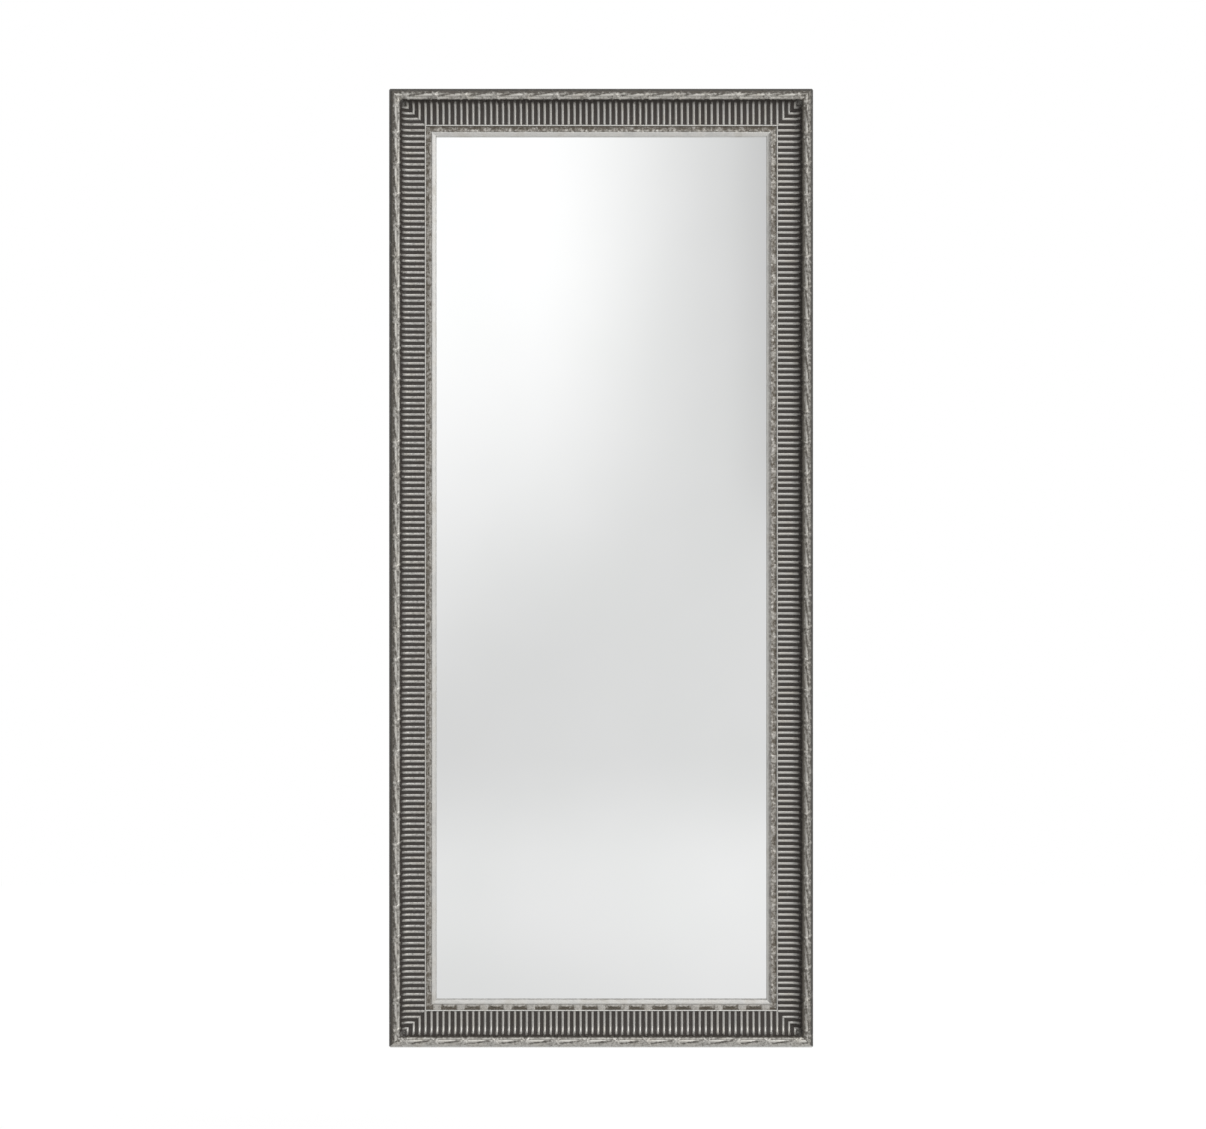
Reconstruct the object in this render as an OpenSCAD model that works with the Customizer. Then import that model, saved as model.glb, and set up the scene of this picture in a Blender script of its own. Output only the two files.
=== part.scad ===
/* [Overall size] */
// Width of the whole frame
frame_w = 720; // [560:10:1000]
// Height of the whole frame
frame_h = 1628; // [1200:2:2000]

/* [Moulding section] */
// Depth of the rebate that takes the glass, from the back
rebate_d = 10; // [8:0.5:14]
// Width of the rebate under the lip
rebate_w = 8; // [6:0.5:10]
// Plain edge left outside the ribbon run
edge_w = 2.2; // [1:0.2:5]
// Width of the ribbon run
ribbon_w = 17.8; // [14:0.2:24]
// Height of the ribbon run above its ledge
ribbon_h = 8; // [6:0.5:8.5]
// Radius of the reeded cove
cove_r = 17; // [12:0.5:24]
// Height of the flat reeded band above the back
band_h = 20; // [18:0.5:26]
// Width of the flat reeded band
band_w = 22; // [16:0.5:40]
// Thickness of the reeded facing between its reeds
facing_t = 2; // [1.5:0.1:3]
// Width of the fillet
fillet_w = 2.5; // [1.5:0.1:4]
// Height of the fillet above the reeded band
fillet_h = 2.4; // [1.5:0.1:4]
// Width of the leaf run
leaf_w = 9; // [6:0.5:14]
// Depth of the leaf run's channel below the reeded band
channel_d = 3; // [2:0.5:5]
// Width of the plain lip at the glass
lip_w = 8; // [6.5:0.5:14]
// Height of the sight wall above the glass
sight_h = 9.5; // [6:0.5:14]
// Rounding of the lip's front edge
lip_round = 1.5; // [0.5:0.5:3]

/* [Ornament] */
// Width of one reed
reed_w = 4.5; // [3:0.1:6]
// Spacing of the reeds on the rails, before it is evened out
rail_reed_pitch = 10.1; // [8:0.05:14]
// Spacing of the reeds on the stiles, before it is evened out
stile_reed_pitch = 9.65; // [8:0.05:14]
// Distance of the first reed from the outer corner
reed_start = 30; // [26:0.5:40]
// Spacing of the ribbon ties, before it is evened out
ribbon_pitch = 52.7; // [36:0.1:80]
// Length of one crossed ribbon tie along the frame
tie_l = 14; // [10:0.5:20]
// Width of each band of a tie
tie_w = 3; // [2:0.1:4]
// Height of a tie above the bundle under it
tie_rise = 0.8; // [0.5:0.1:1.5]
// Spacing of the leaves, before it is evened out
leaf_pitch = 40.4; // [34:0.1:60]
// Length of one leaf along the frame
leaf_l = 22; // [14:0.5:28]
// Height of a leaf above its strip
leaf_rise = 1.4; // [0.6:0.1:2]

/* [Glass and back] */
// Thickness of the mirror glass
glass_t = 4; // [3:0.5:5]
// Thickness of the backing board
board_t = 3; // [2:0.5:3]
// Gap between the glass and the rebate, all round
glass_gap = 1.5; // [1:0.25:3]
// Length of a setting block under the glass
block_l = 40; // [20:5:80]
// Distance of each setting block from the middle of the frame
block_x = 170; // [60:5:190]
// Thickness of a framer's point
point_t = 0.5; // [0.3:0.1:0.8]
// Width of a framer's point
point_w = 8; // [6:0.5:12]
// Length of a framer's point that is driven into the timber
point_in = 6; // [4:0.5:8]
// Length of a framer's point that holds the board
point_out = 10; // [6:0.5:16]
// Spacing of the framer's points, before it is evened out
point_pitch = 210; // [120:5:300]

/* [Corner joints] */
// Number of V nails across each mitre
nail_n = 3; // [2:1:4]
// Length of each wing of a V nail
nail_wing = 7; // [5:0.5:9]
// Thickness of a V nail
nail_t = 0.6; // [0.4:0.1:1]
// Height of a V nail
nail_h = 12; // [7:1:14]

/* [Hangers] */
// Distance of the hanger eyes below the top of the frame
hanger_drop = 300; // [200:10:500]
// Thickness of a hanger strap
strap_t = 1.2; // [0.8:0.1:2]
// Width of a hanger strap
strap_w = 14; // [12:0.5:20]
// Length of a hanger strap below its eye
strap_l = 50; // [40:1:80]
// Diameter of the ring wire
wire_d = 3; // [2.5:0.1:4]
// Radial play of the ring in its eye
eye_play = 0.08; // [0.05:0.01:0.1]
// Play between the eye and the bends of the ring, each side
side_play = 0.5; // [0.3:0.1:1]
// Centre-line radius of the ring's two lower bends
ring_bend = 3.5; // [2.5:0.25:6]
// Length of the ring's straight sides
ring_leg = 3; // [1:0.5:10]
// How far round the eye is rolled, in degrees
eye_roll = 285; // [240:5:290]
// Distance of the first screw below the eye
screw_drop = 20; // [14:1:26]
// Distance between the two screws of a strap
screw_pitch = 20; // [12:1:24]
// Diameter of a screw's shank
screw_d = 3.4; // [2.5:0.1:4]
// Length of a screw's shank under its head
screw_l = 14; // [8:1:16]
// Diameter of a screw's head
screw_head_d = 7; // [5:0.5:8]
// Height of a screw's head
screw_head_h = 2; // [1.4:0.1:2.6]

/* [Wall bumpers] */
// Diameter of a bumper
bumper_d = 18; // [12:1:24]
// Thickness of a bumper, more than the rolled eyes stand out
bumper_t = 6; // [6:0.5:10]
// Distance of the bumpers from the top and bottom of the frame
bumper_inset = 120; // [100:5:180]

/* [Hidden] */
$fn = 48;

// The four sides, counted as quarter turns from the bottom
BOTTOM = 0;
LEFT = 1;
TOP = 2;
RIGHT = 3;
SIDES = [BOTTOM, LEFT, TOP, RIGHT];

// Places across the section, from the outer edge inwards
ribbon_end = edge_w + ribbon_w;
cove_end = ribbon_end + cove_r;
band_end = cove_end + band_w;
fillet_end = band_end + fillet_w;
leaf_end = fillet_end + leaf_w;
moulding_w = leaf_end + lip_w;
rebate_u = moulding_w - rebate_w;
back_mid = rebate_u / 2;

// Heights above the back
ledge_h = band_h + cove_r;
channel_h = band_h - channel_d;
lip_h = rebate_d + sight_h;
glass_back_h = rebate_d - glass_t;
board_back_h = glass_back_h - board_t;

// The half-round that the ribbon ties follow, and the bundle under them
tie_r = (pow(ribbon_w / 2, 2) + pow(ribbon_h, 2)) / (2 * ribbon_h);
tie_mid_h = ledge_h + ribbon_h - tie_r;
ribbon_mid = edge_w + ribbon_w / 2;
stick_share = 0.38;
stick_r = tie_r * stick_share;
stick_turn = 58;

// The thin edge of the leaf strip, and the margins and corners of what lies on it
strip_edge_t = 0.8;
leaf_margin = 2;
leaf_round = 3.5;
tongue_margin = 0.4;
leaf_gap = 1.4;

// How far a V nail's wings turn from the mitre, and the room left at the corners
nail_spread = 50;
corner_room = 60;

// Play of a screw in its strap, the width of the slots in its head, and its narrow ends
screw_play = 0.4;
slot_w = 0.9;
screw_head_top_d = screw_head_d - 2.1;
screw_tip_d = 0.4;

// The glass and its board
glass_w = frame_w - 2 * (rebate_u + glass_gap);
glass_h = frame_h - 2 * (rebate_u + glass_gap);

// The hanger eye and ring
eye_r = wire_d / 2 + eye_play;
eye_y = strap_t + eye_r;
bar_half = strap_w / 2 + side_play;
ring_r = bar_half + ring_bend;

// The origin is on the back of the top rail, midway along it and across it
origin_z = frame_h / 2 - back_mid;
hanger_x = frame_w / 2 - back_mid;
hanger_z = frame_h / 2 - hanger_drop;

// A little more than the cut, so that no two faces coincide in a cut
over = 1;

SILVER = "#a8a59c";
AGED_SILVER = "#8d8a80";
TIMBER = "#9a8260";
BOARD = "#8a6b4a";
MIRROR = "#dfe5e6";
STEEL = "#b5b7b8";
FELT = "#3b3833";

function side_len(side) = side % 2 == 0 ? frame_w : frame_h;
function side_reach(side) = side % 2 == 0 ? frame_h / 2 : frame_w / 2;
function reed_pitch(side) = side % 2 == 0 ? rail_reed_pitch : stile_reed_pitch;

// Evenly spaced places from -span/2 to span/2, about pitch apart
function spaced(span, pitch) =
    let (steps = max(1, round(span / pitch)))
    [for (i = [0:steps]) -span / 2 + i * span / steps];

// Puts the frame's centre where the origin asks for it
module in_frame() {
    translate([0, 0, -origin_z])
        children();
}

// Puts a side's own axes, along, across and up from its back, into the frame
module at_side(side) {
    in_frame()
        rotate([0, 90 * side, 0])
            translate([0, 0, -side_reach(side)])
                children();
}

// Runs a section, drawn as across and up, along a side
module run_along(len) {
    rotate([180, -90, 0])
        linear_extrude(len, center = true)
            children();
}

// Raises an outline, drawn as along and across, from one height to another
module raise(from, to) {
    rotate([90, 0, 0])
        translate([0, 0, from])
            linear_extrude(to - from)
                children();
}

// What lies between the two mitre planes of a side
module between_mitres(len) {
    raise(-over, ledge_h + ribbon_h + over)
        polygon([
            [-len / 2 - over, -over],
            [len / 2 + over, -over],
            [len / 2 - moulding_w - over, moulding_w + over],
            [-len / 2 + moulding_w + over, moulding_w + over]
        ]);
}

module mitred(side) {
    intersection() {
        children();
        between_mitres(side_len(side));
    }
}

// The milled timber section: ledge, cove, band, fillet, channel and lip
module timber_section() {
    difference() {
        union() {
            square([cove_end, ledge_h]);
            square([band_end, band_h - facing_t]);
            square([leaf_end, channel_h]);
            fillet_section();
            lip_section();
        }
        translate([cove_end, ledge_h])
            circle(r = cove_r + facing_t);
        translate([rebate_u, -over])
            square([rebate_w + over, rebate_d + over]);
    }
}

module fillet_section() {
    round_h = band_h + fillet_h - fillet_w / 2;
    translate([band_end, 0])
        square([fillet_w, round_h]);
    translate([band_end + fillet_w / 2, round_h])
        circle(d = fillet_w);
}

module lip_section() {
    translate([leaf_end, 0]) {
        square([lip_w - lip_round, lip_h]);
        square([lip_w, lip_h - lip_round]);
        translate([lip_w - lip_round, lip_h - lip_round])
            circle(r = lip_round);
    }
}

// One side of the frame, cut for the fasteners that it holds
module timber(side) {
    color(TIMBER)
        difference() {
            at_side(side)
                mitred(side)
                    run_along(side_len(side))
                        timber_section();
            v_nails();
            points(side);
            if (side == LEFT)
                screws(-1);
            if (side == RIGHT)
                screws(1);
        }
}

// The reeded facing seen end on: a lining with half-round reeds
module reeded_edge(len, pitch) {
    intersection() {
        union() {
            translate([cove_r, -len / 2])
                square([facing_t, len]);
            for (s = spaced(len - 2 * reed_start, pitch))
                translate([cove_r, s])
                    circle(d = reed_w);
        }
        translate([0, -len / 2])
            square([cove_r + facing_t, len]);
    }
}

// The facing turned round the cove, then run straight across the band
module reeds(side) {
    len = side_len(side);
    pitch = reed_pitch(side);
    color(SILVER)
        at_side(side)
            mitred(side) {
                rotate([180, -90, 0])
                    translate([cove_end, ledge_h, 0]) {
                        rotate([0, 0, 180])
                            rotate_extrude(angle = 90)
                                reeded_edge(len, pitch);
                        rotate([-90, 0, -90])
                            linear_extrude(band_w)
                                reeded_edge(len, pitch);
                    }
                run_along(len)
                    facing_core();
            }
}

// The inside of the lining where the cove turns into the band
module facing_core() {
    translate([cove_end - facing_t, band_h - facing_t * 3 / 4])
        square([2 * facing_t, facing_t / 2]);
}

// Keeps what stands above the ledge
module above_ledge() {
    intersection() {
        children();
        translate([edge_w, ledge_h])
            square([ribbon_w, ribbon_h + over]);
    }
}

// The bundle of sticks that the ribbon ties
module bundle_section() {
    stick_reach = tie_r - tie_rise - stick_r;
    above_ledge()
        translate([ribbon_mid, tie_mid_h]) {
            circle(r = stick_reach);
            for (turn = [-stick_turn, 0, stick_turn])
                rotate(turn)
                    translate([0, stick_reach])
                        circle(r = stick_r);
        }
}

module tie_section() {
    above_ledge()
        translate([ribbon_mid, tie_mid_h])
            circle(r = tie_r);
}

// Crossed bands seen from the front, one pair for each tie
module tie_outlines(len) {
    lean = atan(tie_l / ribbon_w);
    for (s = spaced(len - ribbon_pitch, ribbon_pitch), way = [-1, 1])
        translate([s, ribbon_mid])
            rotate(way * lean)
                square([tie_w, 2 * ribbon_w], center = true);
}

module ribbon(side) {
    len = side_len(side);
    color(AGED_SILVER)
        at_side(side)
            mitred(side) {
                run_along(len)
                    bundle_section();
                intersection() {
                    run_along(len)
                        tie_section();
                    raise(ledge_h, ledge_h + ribbon_h + over)
                        tie_outlines(len);
                }
            }
}

// A strip that climbs from the fillet to the lip, with some height added
module strip_section(more) {
    polygon([
        [fillet_end, channel_h],
        [leaf_end, channel_h],
        [leaf_end, lip_h + more],
        [fillet_end, channel_h + strip_edge_t + more]
    ]);
}

// A leaf seen from the front, with its root at the lip
module leaf_outline() {
    reach = leaf_w - leaf_margin;
    translate([-leaf_l / 2, leaf_end - reach + leaf_round])
        square([leaf_l, reach - leaf_round]);
    translate([-leaf_l / 2 + leaf_round, leaf_end - reach])
        square([leaf_l - 2 * leaf_round, leaf_round]);
    for (end = [-1, 1])
        translate([end * (leaf_l / 2 - leaf_round), leaf_end - reach + leaf_round])
            circle(r = leaf_round);
}

// A plain tongue that fills the space between two leaves and reaches the fillet
module tongue_outline(len) {
    reach = leaf_w - tongue_margin;
    translate([-len / 2, leaf_end - reach])
        square([len, reach]);
}

// Leaves with a tongue in each space between them
module leaf_outlines(len) {
    places = spaced(len - leaf_pitch, leaf_pitch);
    step = places[1] - places[0];
    for (s = places)
        translate([s, 0])
            leaf_outline();
    for (i = [1:len(places) - 1])
        translate([places[i] - step / 2, 0])
            tongue_outline(step - leaf_l - 2 * leaf_gap);
}

module leaves(side) {
    len = side_len(side);
    color(AGED_SILVER)
        at_side(side)
            mitred(side) {
                run_along(len)
                    strip_section(0);
                intersection() {
                    run_along(len)
                        strip_section(leaf_rise);
                    raise(channel_h, lip_h + leaf_rise + over)
                        leaf_outlines(len);
                }
            }
}

// The glass lies against the rebate, with its silvered side to the back
module mirror_glass() {
    color(MIRROR)
        in_frame()
            raise(glass_back_h, rebate_d)
                square([glass_w, glass_h], center = true);
}

module backing_board() {
    color(BOARD)
        in_frame()
            raise(board_back_h, glass_back_h)
                square([glass_w, glass_h], center = true);
}

// Blocks that carry the lower edge of the glass and the board
module setting_blocks() {
    color(FELT)
        in_frame()
            raise(board_back_h, rebate_d)
                for (x = [-block_x, block_x])
                    translate([x - block_l / 2, -glass_h / 2 - glass_gap])
                        square([block_l, glass_gap]);
}

// Flat points along one side, driven into the rebate behind the board
module points(side) {
    room = side_len(side) - 2 * (rebate_u + corner_room);
    at_side(side)
        raise(board_back_h - point_t, board_back_h)
            for (s = spaced(room, point_pitch))
                translate([s, rebate_u])
                    polygon([
                        [-point_w / 2, point_out],
                        [point_w / 2, point_out],
                        [point_w / 2, -point_in / 2],
                        [0, -point_in],
                        [-point_w / 2, -point_in / 2]
                    ]);
}

module framers_points() {
    color(STEEL)
        for (side = SIDES)
            points(side);
}

// V-shaped nails driven across each mitre from the back
module v_nails() {
    in_frame()
        raise(0, nail_h)
            for (x = [-1, 1], z = [-1, 1], i = [1:nail_n])
                translate([x * frame_w / 2, z * frame_h / 2])
                    rotate(atan2(-z, -x))
                        translate([sqrt(2) * rebate_u * (i - 0.5) / nail_n, 0])
                            for (wing = [-1, 1])
                                rotate(wing * nail_spread)
                                    translate([0, -nail_t / 2])
                                        square([nail_wing, nail_t]);
}

module corner_v_nails() {
    color(STEEL)
        v_nails();
}

// Puts a hanger's eye axis in its place, with way -1 on the left and 1 on the right
module at_hanger(way) {
    in_frame()
        translate([way * hanger_x, 0, hanger_z])
            children();
}

// A drilled strap whose top is rolled into an eye
module hanger_strap(way) {
    color(STEEL)
        at_hanger(way) {
            difference() {
                raise(-strap_t, 0) {
                    translate([-strap_w / 2, -strap_l + strap_w / 2])
                        square([strap_w, strap_l - strap_w / 2]);
                    translate([0, -strap_l + strap_w / 2])
                        circle(d = strap_w);
                }
                for (i = [0, 1])
                    translate([0, strap_t + over, -screw_drop - i * screw_pitch])
                        rotate([90, 0, 0])
                            cylinder(h = strap_t + 2 * over, d = screw_d + screw_play);
            }
            translate([0, eye_y, 0])
                rotate([90, 0, -90])
                    rotate_extrude(angle = eye_roll)
                        translate([eye_r, -strap_w / 2])
                            square([strap_t, strap_w]);
        }
}

module left_hanger_strap() {
    hanger_strap(-1);
}

module right_hanger_strap() {
    hanger_strap(1);
}

// A bent wire ring, pointing up from its eye
module hanger_ring(way) {
    color(STEEL)
        at_hanger(way)
            translate([0, eye_y, 0]) {
                rotate([0, 90, 0])
                    cylinder(h = 2 * bar_half, d = wire_d, center = true);
                for (end = [-1, 1])
                    translate([end * ring_r, 0, ring_bend])
                        cylinder(h = ring_leg, d = wire_d);
                rotate([90, 0, 0]) {
                    translate([bar_half, ring_bend, 0])
                        rotate([0, 0, -90])
                            wire_bend(ring_bend, 90);
                    translate([-bar_half, ring_bend, 0])
                        rotate([0, 0, 180])
                            wire_bend(ring_bend, 90);
                    translate([0, ring_bend + ring_leg, 0])
                        wire_bend(ring_r, 180);
                }
            }
}

module wire_bend(radius, angle) {
    rotate_extrude(angle = angle)
        translate([radius, 0])
            circle(d = wire_d);
}

module left_hanger_ring() {
    hanger_ring(-1);
}

module right_hanger_ring() {
    hanger_ring(1);
}

// Cross-head screws through one strap into its stile
module screws(way) {
    at_hanger(way)
        for (i = [0, 1])
            translate([0, strap_t, -screw_drop - i * screw_pitch])
                rotate([90, 0, 0])
                    screw();
}

// A pan-head screw that points along +Z from under its head
module screw() {
    cone_l = screw_d;
    difference() {
        translate([0, 0, -screw_head_h])
            cylinder(h = screw_head_h, d1 = screw_head_top_d, d2 = screw_head_d);
        for (turn = [0, 90])
            rotate(turn)
                translate([-screw_head_d / 4, -slot_w / 2, -screw_head_h - over])
                    cube([screw_head_d / 2, slot_w, screw_head_h / 2 + over]);
    }
    cylinder(h = screw_l - cone_l, d = screw_d);
    translate([0, 0, screw_l - cone_l])
        cylinder(h = cone_l, d1 = screw_d, d2 = screw_tip_d);
}

module hanger_screws() {
    color(STEEL) {
        screws(-1);
        screws(1);
    }
}

// Round pads that hold the frame off the wall, level with the rings
module wall_bumpers() {
    edge = bumper_t / 3;
    color(FELT)
        in_frame()
            for (x = [-1, 1], z = [-1, 1])
                translate([x * hanger_x, 0, z * (frame_h / 2 - bumper_inset)])
                    rotate([-90, 0, 0])
                        rotate_extrude() {
                            square([bumper_d / 2 - edge, bumper_t]);
                            square([bumper_d / 2, bumper_t - edge]);
                            intersection() {
                                translate([bumper_d / 2 - edge, bumper_t - edge])
                                    circle(r = edge);
                                square([bumper_d / 2, bumper_t]);
                            }
                        }
}

timber(TOP);  // top_rail
timber(BOTTOM);  // bottom_rail
timber(LEFT);  // left_stile
timber(RIGHT);  // right_stile
reeds(TOP);  // top_reeds
reeds(BOTTOM);  // bottom_reeds
reeds(LEFT);  // left_reeds
reeds(RIGHT);  // right_reeds
ribbon(TOP);  // top_ribbon
ribbon(BOTTOM);  // bottom_ribbon
ribbon(LEFT);  // left_ribbon
ribbon(RIGHT);  // right_ribbon
leaves(TOP);  // top_leaves
leaves(BOTTOM);  // bottom_leaves
leaves(LEFT);  // left_leaves
leaves(RIGHT);  // right_leaves
mirror_glass();
backing_board();
setting_blocks();
framers_points();
corner_v_nails();
left_hanger_strap();
right_hanger_strap();
left_hanger_ring();
right_hanger_ring();
hanger_screws();
wall_bumpers();
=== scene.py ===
import math
import random
import bmesh
import bpy
from mathutils import Matrix, Vector


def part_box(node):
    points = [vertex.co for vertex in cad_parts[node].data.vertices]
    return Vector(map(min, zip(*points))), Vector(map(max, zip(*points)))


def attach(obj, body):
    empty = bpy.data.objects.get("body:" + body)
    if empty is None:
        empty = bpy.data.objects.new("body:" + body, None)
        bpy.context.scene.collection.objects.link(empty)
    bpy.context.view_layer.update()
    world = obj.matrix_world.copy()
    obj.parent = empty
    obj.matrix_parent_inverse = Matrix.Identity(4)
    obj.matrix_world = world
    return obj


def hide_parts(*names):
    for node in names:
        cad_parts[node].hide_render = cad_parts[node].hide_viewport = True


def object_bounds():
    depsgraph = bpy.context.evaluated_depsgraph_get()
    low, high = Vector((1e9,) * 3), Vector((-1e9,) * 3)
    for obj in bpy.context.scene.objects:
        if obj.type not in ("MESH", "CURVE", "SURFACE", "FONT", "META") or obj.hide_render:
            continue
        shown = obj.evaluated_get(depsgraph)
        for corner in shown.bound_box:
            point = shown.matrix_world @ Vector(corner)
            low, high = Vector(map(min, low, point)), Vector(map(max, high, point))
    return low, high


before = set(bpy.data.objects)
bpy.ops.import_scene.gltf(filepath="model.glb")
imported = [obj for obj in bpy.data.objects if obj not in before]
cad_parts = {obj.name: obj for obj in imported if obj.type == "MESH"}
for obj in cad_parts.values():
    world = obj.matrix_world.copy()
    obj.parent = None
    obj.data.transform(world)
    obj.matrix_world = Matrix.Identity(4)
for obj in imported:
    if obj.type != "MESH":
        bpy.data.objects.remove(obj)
cad_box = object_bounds()

# Lengths are in metres, worked out from the frame or written in millimetres
MM = 0.001
LOWEST, HIGHEST = cad_box
FRAME_W = HIGHEST.x - LOWEST.x
FRAME_H = HIGHEST.z - LOWEST.z
CENTRE = Vector((0, 0, (LOWEST.z + HIGHEST.z) / 2))


def across(node):
    """Where a node of the bottom side starts and ends, from the outer edge inwards."""
    low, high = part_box(node)
    return low.z - LOWEST.z, high.z - LOWEST.z


def heights(node):
    """The lowest and highest level of a node above the back of the frame."""
    low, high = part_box(node)
    return -high.y, -low.y


# The moulding's section: u runs inwards from the outer edge, v up from the back
MOULDING_W = across("bottom_rail")[1]
RIBBON_START, RIBBON_END = across("bottom_ribbon")
LEDGE_H, CROWN_H = heights("bottom_ribbon")
REEDS_START, REEDS_END = across("bottom_reeds")
LEAVES_START, LEAVES_END = across("bottom_leaves")
CHANNEL_H = heights("bottom_leaves")[0]
REBATE_H = heights("mirror_glass")[1]
FACING_BACK_H = heights("bottom_reeds")[0]
FACING_T = 2 * MM
BAND_H = FACING_BACK_H + FACING_T
COVE_R = LEDGE_H - BAND_H
COVE_END = REEDS_START + COVE_R
FILLET_H = BAND_H + 2.4 * MM
LIP_H = REBATE_H + 9.5 * MM
REBATE_U = MOULDING_W - 8 * MM
JOINT_GAP = 0.06 * MM
SNAP = 0.001 * MM

# Turns of the four sides about the middle of the frame, from the bottom
SIDES = {"bottom": 0, "left": 1, "top": 2, "right": 3}
TIMBER_NODES = {"bottom": "bottom_rail", "left": "left_stile", "top": "top_rail", "right": "right_stile"}


def side_length(side):
    """Length of one side over its outer corners."""
    return FRAME_W if SIDES[side] % 2 == 0 else FRAME_H


def side_place(side):
    """Takes a point along, across and up from the back of a side into the frame."""
    reach = (FRAME_H if SIDES[side] % 2 == 0 else FRAME_W) / 2
    bottom = Matrix(((1, 0, 0, 0), (0, 0, -1, 0), (0, 1, 0, -reach), (0, 0, 0, 1)))
    turn = Matrix.Rotation(SIDES[side] * math.pi / 2, 4, "Y")
    return Matrix.Translation(CENTRE) @ turn @ bottom


def spaced(span, pitch):
    """Evenly spaced places over a span centred on nought, about pitch apart."""
    steps = max(1, round(span / pitch))
    return [span * (i / steps - 0.5) for i in range(steps + 1)]


def blend(low, high, share):
    """Between two values."""
    return low + (high - low) * share


def ease(value, start, end):
    """Rises smoothly from 0 at start to 1 at end."""
    share = min(1, max(0, (value - start) / (end - start)))
    return share * share * (3 - 2 * share)


def arc(middle, radius, start, end, steps):
    """Points of an arc in a section, with its angles in degrees."""
    points = []
    for i in range(steps + 1):
        angle = math.radians(blend(start, end, i / steps))
        points.append((middle[0] + radius * math.cos(angle), middle[1] + radius * math.sin(angle)))
    return points


def ring(bm, points):
    """A closed loop of edges through points."""
    corners = [bm.verts.new(point) for point in points]
    return [bm.edges.new((corners[i - 1], corners[i])) for i in range(len(corners))]


def only(made, kind):
    """The vertices or the edges among what an operator made."""
    return [item for item in made if isinstance(item, kind)]


def push_on(bm, edges, offset):
    """Extrudes a loop of edges and moves the new loop on."""
    made = bmesh.ops.extrude_edge_only(bm, edges=edges)["geom"]
    corners = only(made, bmesh.types.BMVert)
    bmesh.ops.translate(bm, verts=corners, vec=offset)
    return only(made, bmesh.types.BMEdge), corners


def spin_on(bm, edges, middle, axis, angle, steps):
    """Carries edges round an axis, leaving faces behind, and gives the last of them."""
    corners = list(dict.fromkeys(vert for edge in edges for vert in edge.verts))
    made = bmesh.ops.spin(
        bm,
        geom=corners + list(edges),
        cent=middle,
        axis=axis,
        angle=angle,
        steps=steps,
        use_merge=angle >= 2 * math.pi,
    )
    return only(made["geom_last"], bmesh.types.BMEdge)


def close_ends(bm):
    """Fills every open loop of the mesh."""
    open_edges = [edge for edge in bm.edges if edge.is_boundary]
    bmesh.ops.holes_fill(bm, edges=open_edges, sides=0)


def extrude_section(bm, section, length):
    """Draws a section the whole length of a side and leaves its ends open."""
    start = ring(bm, [(-length / 2, u, v) for u, v in section])
    push_on(bm, start, (length, 0, 0))


def stamp(bm, template, place):
    """Adds a copy of a small mesh at a place along the side."""
    known = len(bm.verts)
    bm.from_mesh(template)
    bm.verts.ensure_lookup_table()
    bmesh.ops.translate(bm, verts=bm.verts[known:], vec=(place, 0, 0))


def cut_ends(bm, reach, lean):
    """Cuts both ends off at 45 degrees, inwards for a lean of 1 and outwards for -1, and closes the cuts."""
    for end in (-1, 1):
        bmesh.ops.bisect_plane(
            bm,
            geom=bm.verts[:] + bm.edges[:] + bm.faces[:],
            dist=SNAP,
            plane_co=(end * reach, 0, 0),
            plane_no=(end, lean, 0),
            clear_outer=True,
        )
        close_ends(bm)


def break_edges(bm, edges, width, segments):
    """Bevels edges."""
    bmesh.ops.bevel(
        bm,
        geom=edges,
        offset=width,
        offset_type="OFFSET",
        affect="EDGES",
        segments=segments,
        profile=0.5,
        material=-1,
    )


def shade(bm, crease):
    """Turns normals outwards and keeps edges sharper than the crease angle crisp."""
    bmesh.ops.recalc_face_normals(bm, faces=bm.faces)
    limit = math.radians(crease)
    for face in bm.faces:
        face.smooth = len(face.verts) <= 4
    for edge in bm.edges:
        edge.smooth = len(edge.link_faces) == 2 and edge.calc_face_angle(0) < limit


def mark_patina_and_shade(bm, rule):
    """Stores how much dark patina and painted shade each point keeps, from 0 on rubbed crests to 1 in
    grooves.
    """
    layer = bm.verts.layers.float.new("patina_and_shade")
    for vert in bm.verts:
        vert[layer] = min(1, max(0, rule(*vert.co)))


def mark_grain(bm):
    """Stores each point's place along, across and up its side, so that the grain follows the side."""
    layer = bm.verts.layers.float_vector.new("grain")
    for vert in bm.verts:
        vert[layer] = vert.co


def to_mesh(bm, name):
    """Turns a bmesh into a mesh and frees it."""
    mesh = bpy.data.meshes.new(name)
    bm.to_mesh(mesh)
    bm.free()
    return mesh


def new_object(name, data):
    """A new object, linked into the scene."""
    made = bpy.data.objects.new(name, data)
    bpy.context.scene.collection.objects.link(made)
    return made


def add_piece(name, bm, materials, nodes, body="frame"):
    """Adds a finished piece, which stands for its CAD nodes and moves with its body."""
    piece = new_object(name, to_mesh(bm, name))
    for material in materials:
        piece.data.materials.append(material)
    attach(piece, body)
    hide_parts(*nodes)


def add_run(side, bm, crease, rule, material, slot, node):
    """Mitres a carved run, lays its patina and painted shade and adds it to its side."""
    cut_ends(bm, side_length(side) / 2 - JOINT_GAP, 1)
    shade(bm, crease)
    mark_patina_and_shade(bm, rule)
    bm.transform(side_place(side))
    add_piece(f"{side}_{slot}", bm, (material,), (f"{side}_{node}",))


# Shader nodes
def plug(tree, socket, value):
    """Links a socket to another or sets its value."""
    if isinstance(value, bpy.types.NodeSocket):
        tree.links.new(value, socket)
    else:
        socket.default_value = value


def put(tree, kind, inputs=None, **settings):
    """Adds a shader node with its settings and inputs."""
    made = tree.nodes.new("ShaderNode" + kind)
    for name, value in settings.items():
        setattr(made, name, value)
    for name, value in (inputs or {}).items():
        plug(tree, made.inputs[name], value)
    return made


def calculate(tree, operation, first, second=0.0):
    """One sum on two values."""
    return put(tree, "Math", {0: first, 1: second}, operation=operation).outputs[0]


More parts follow.
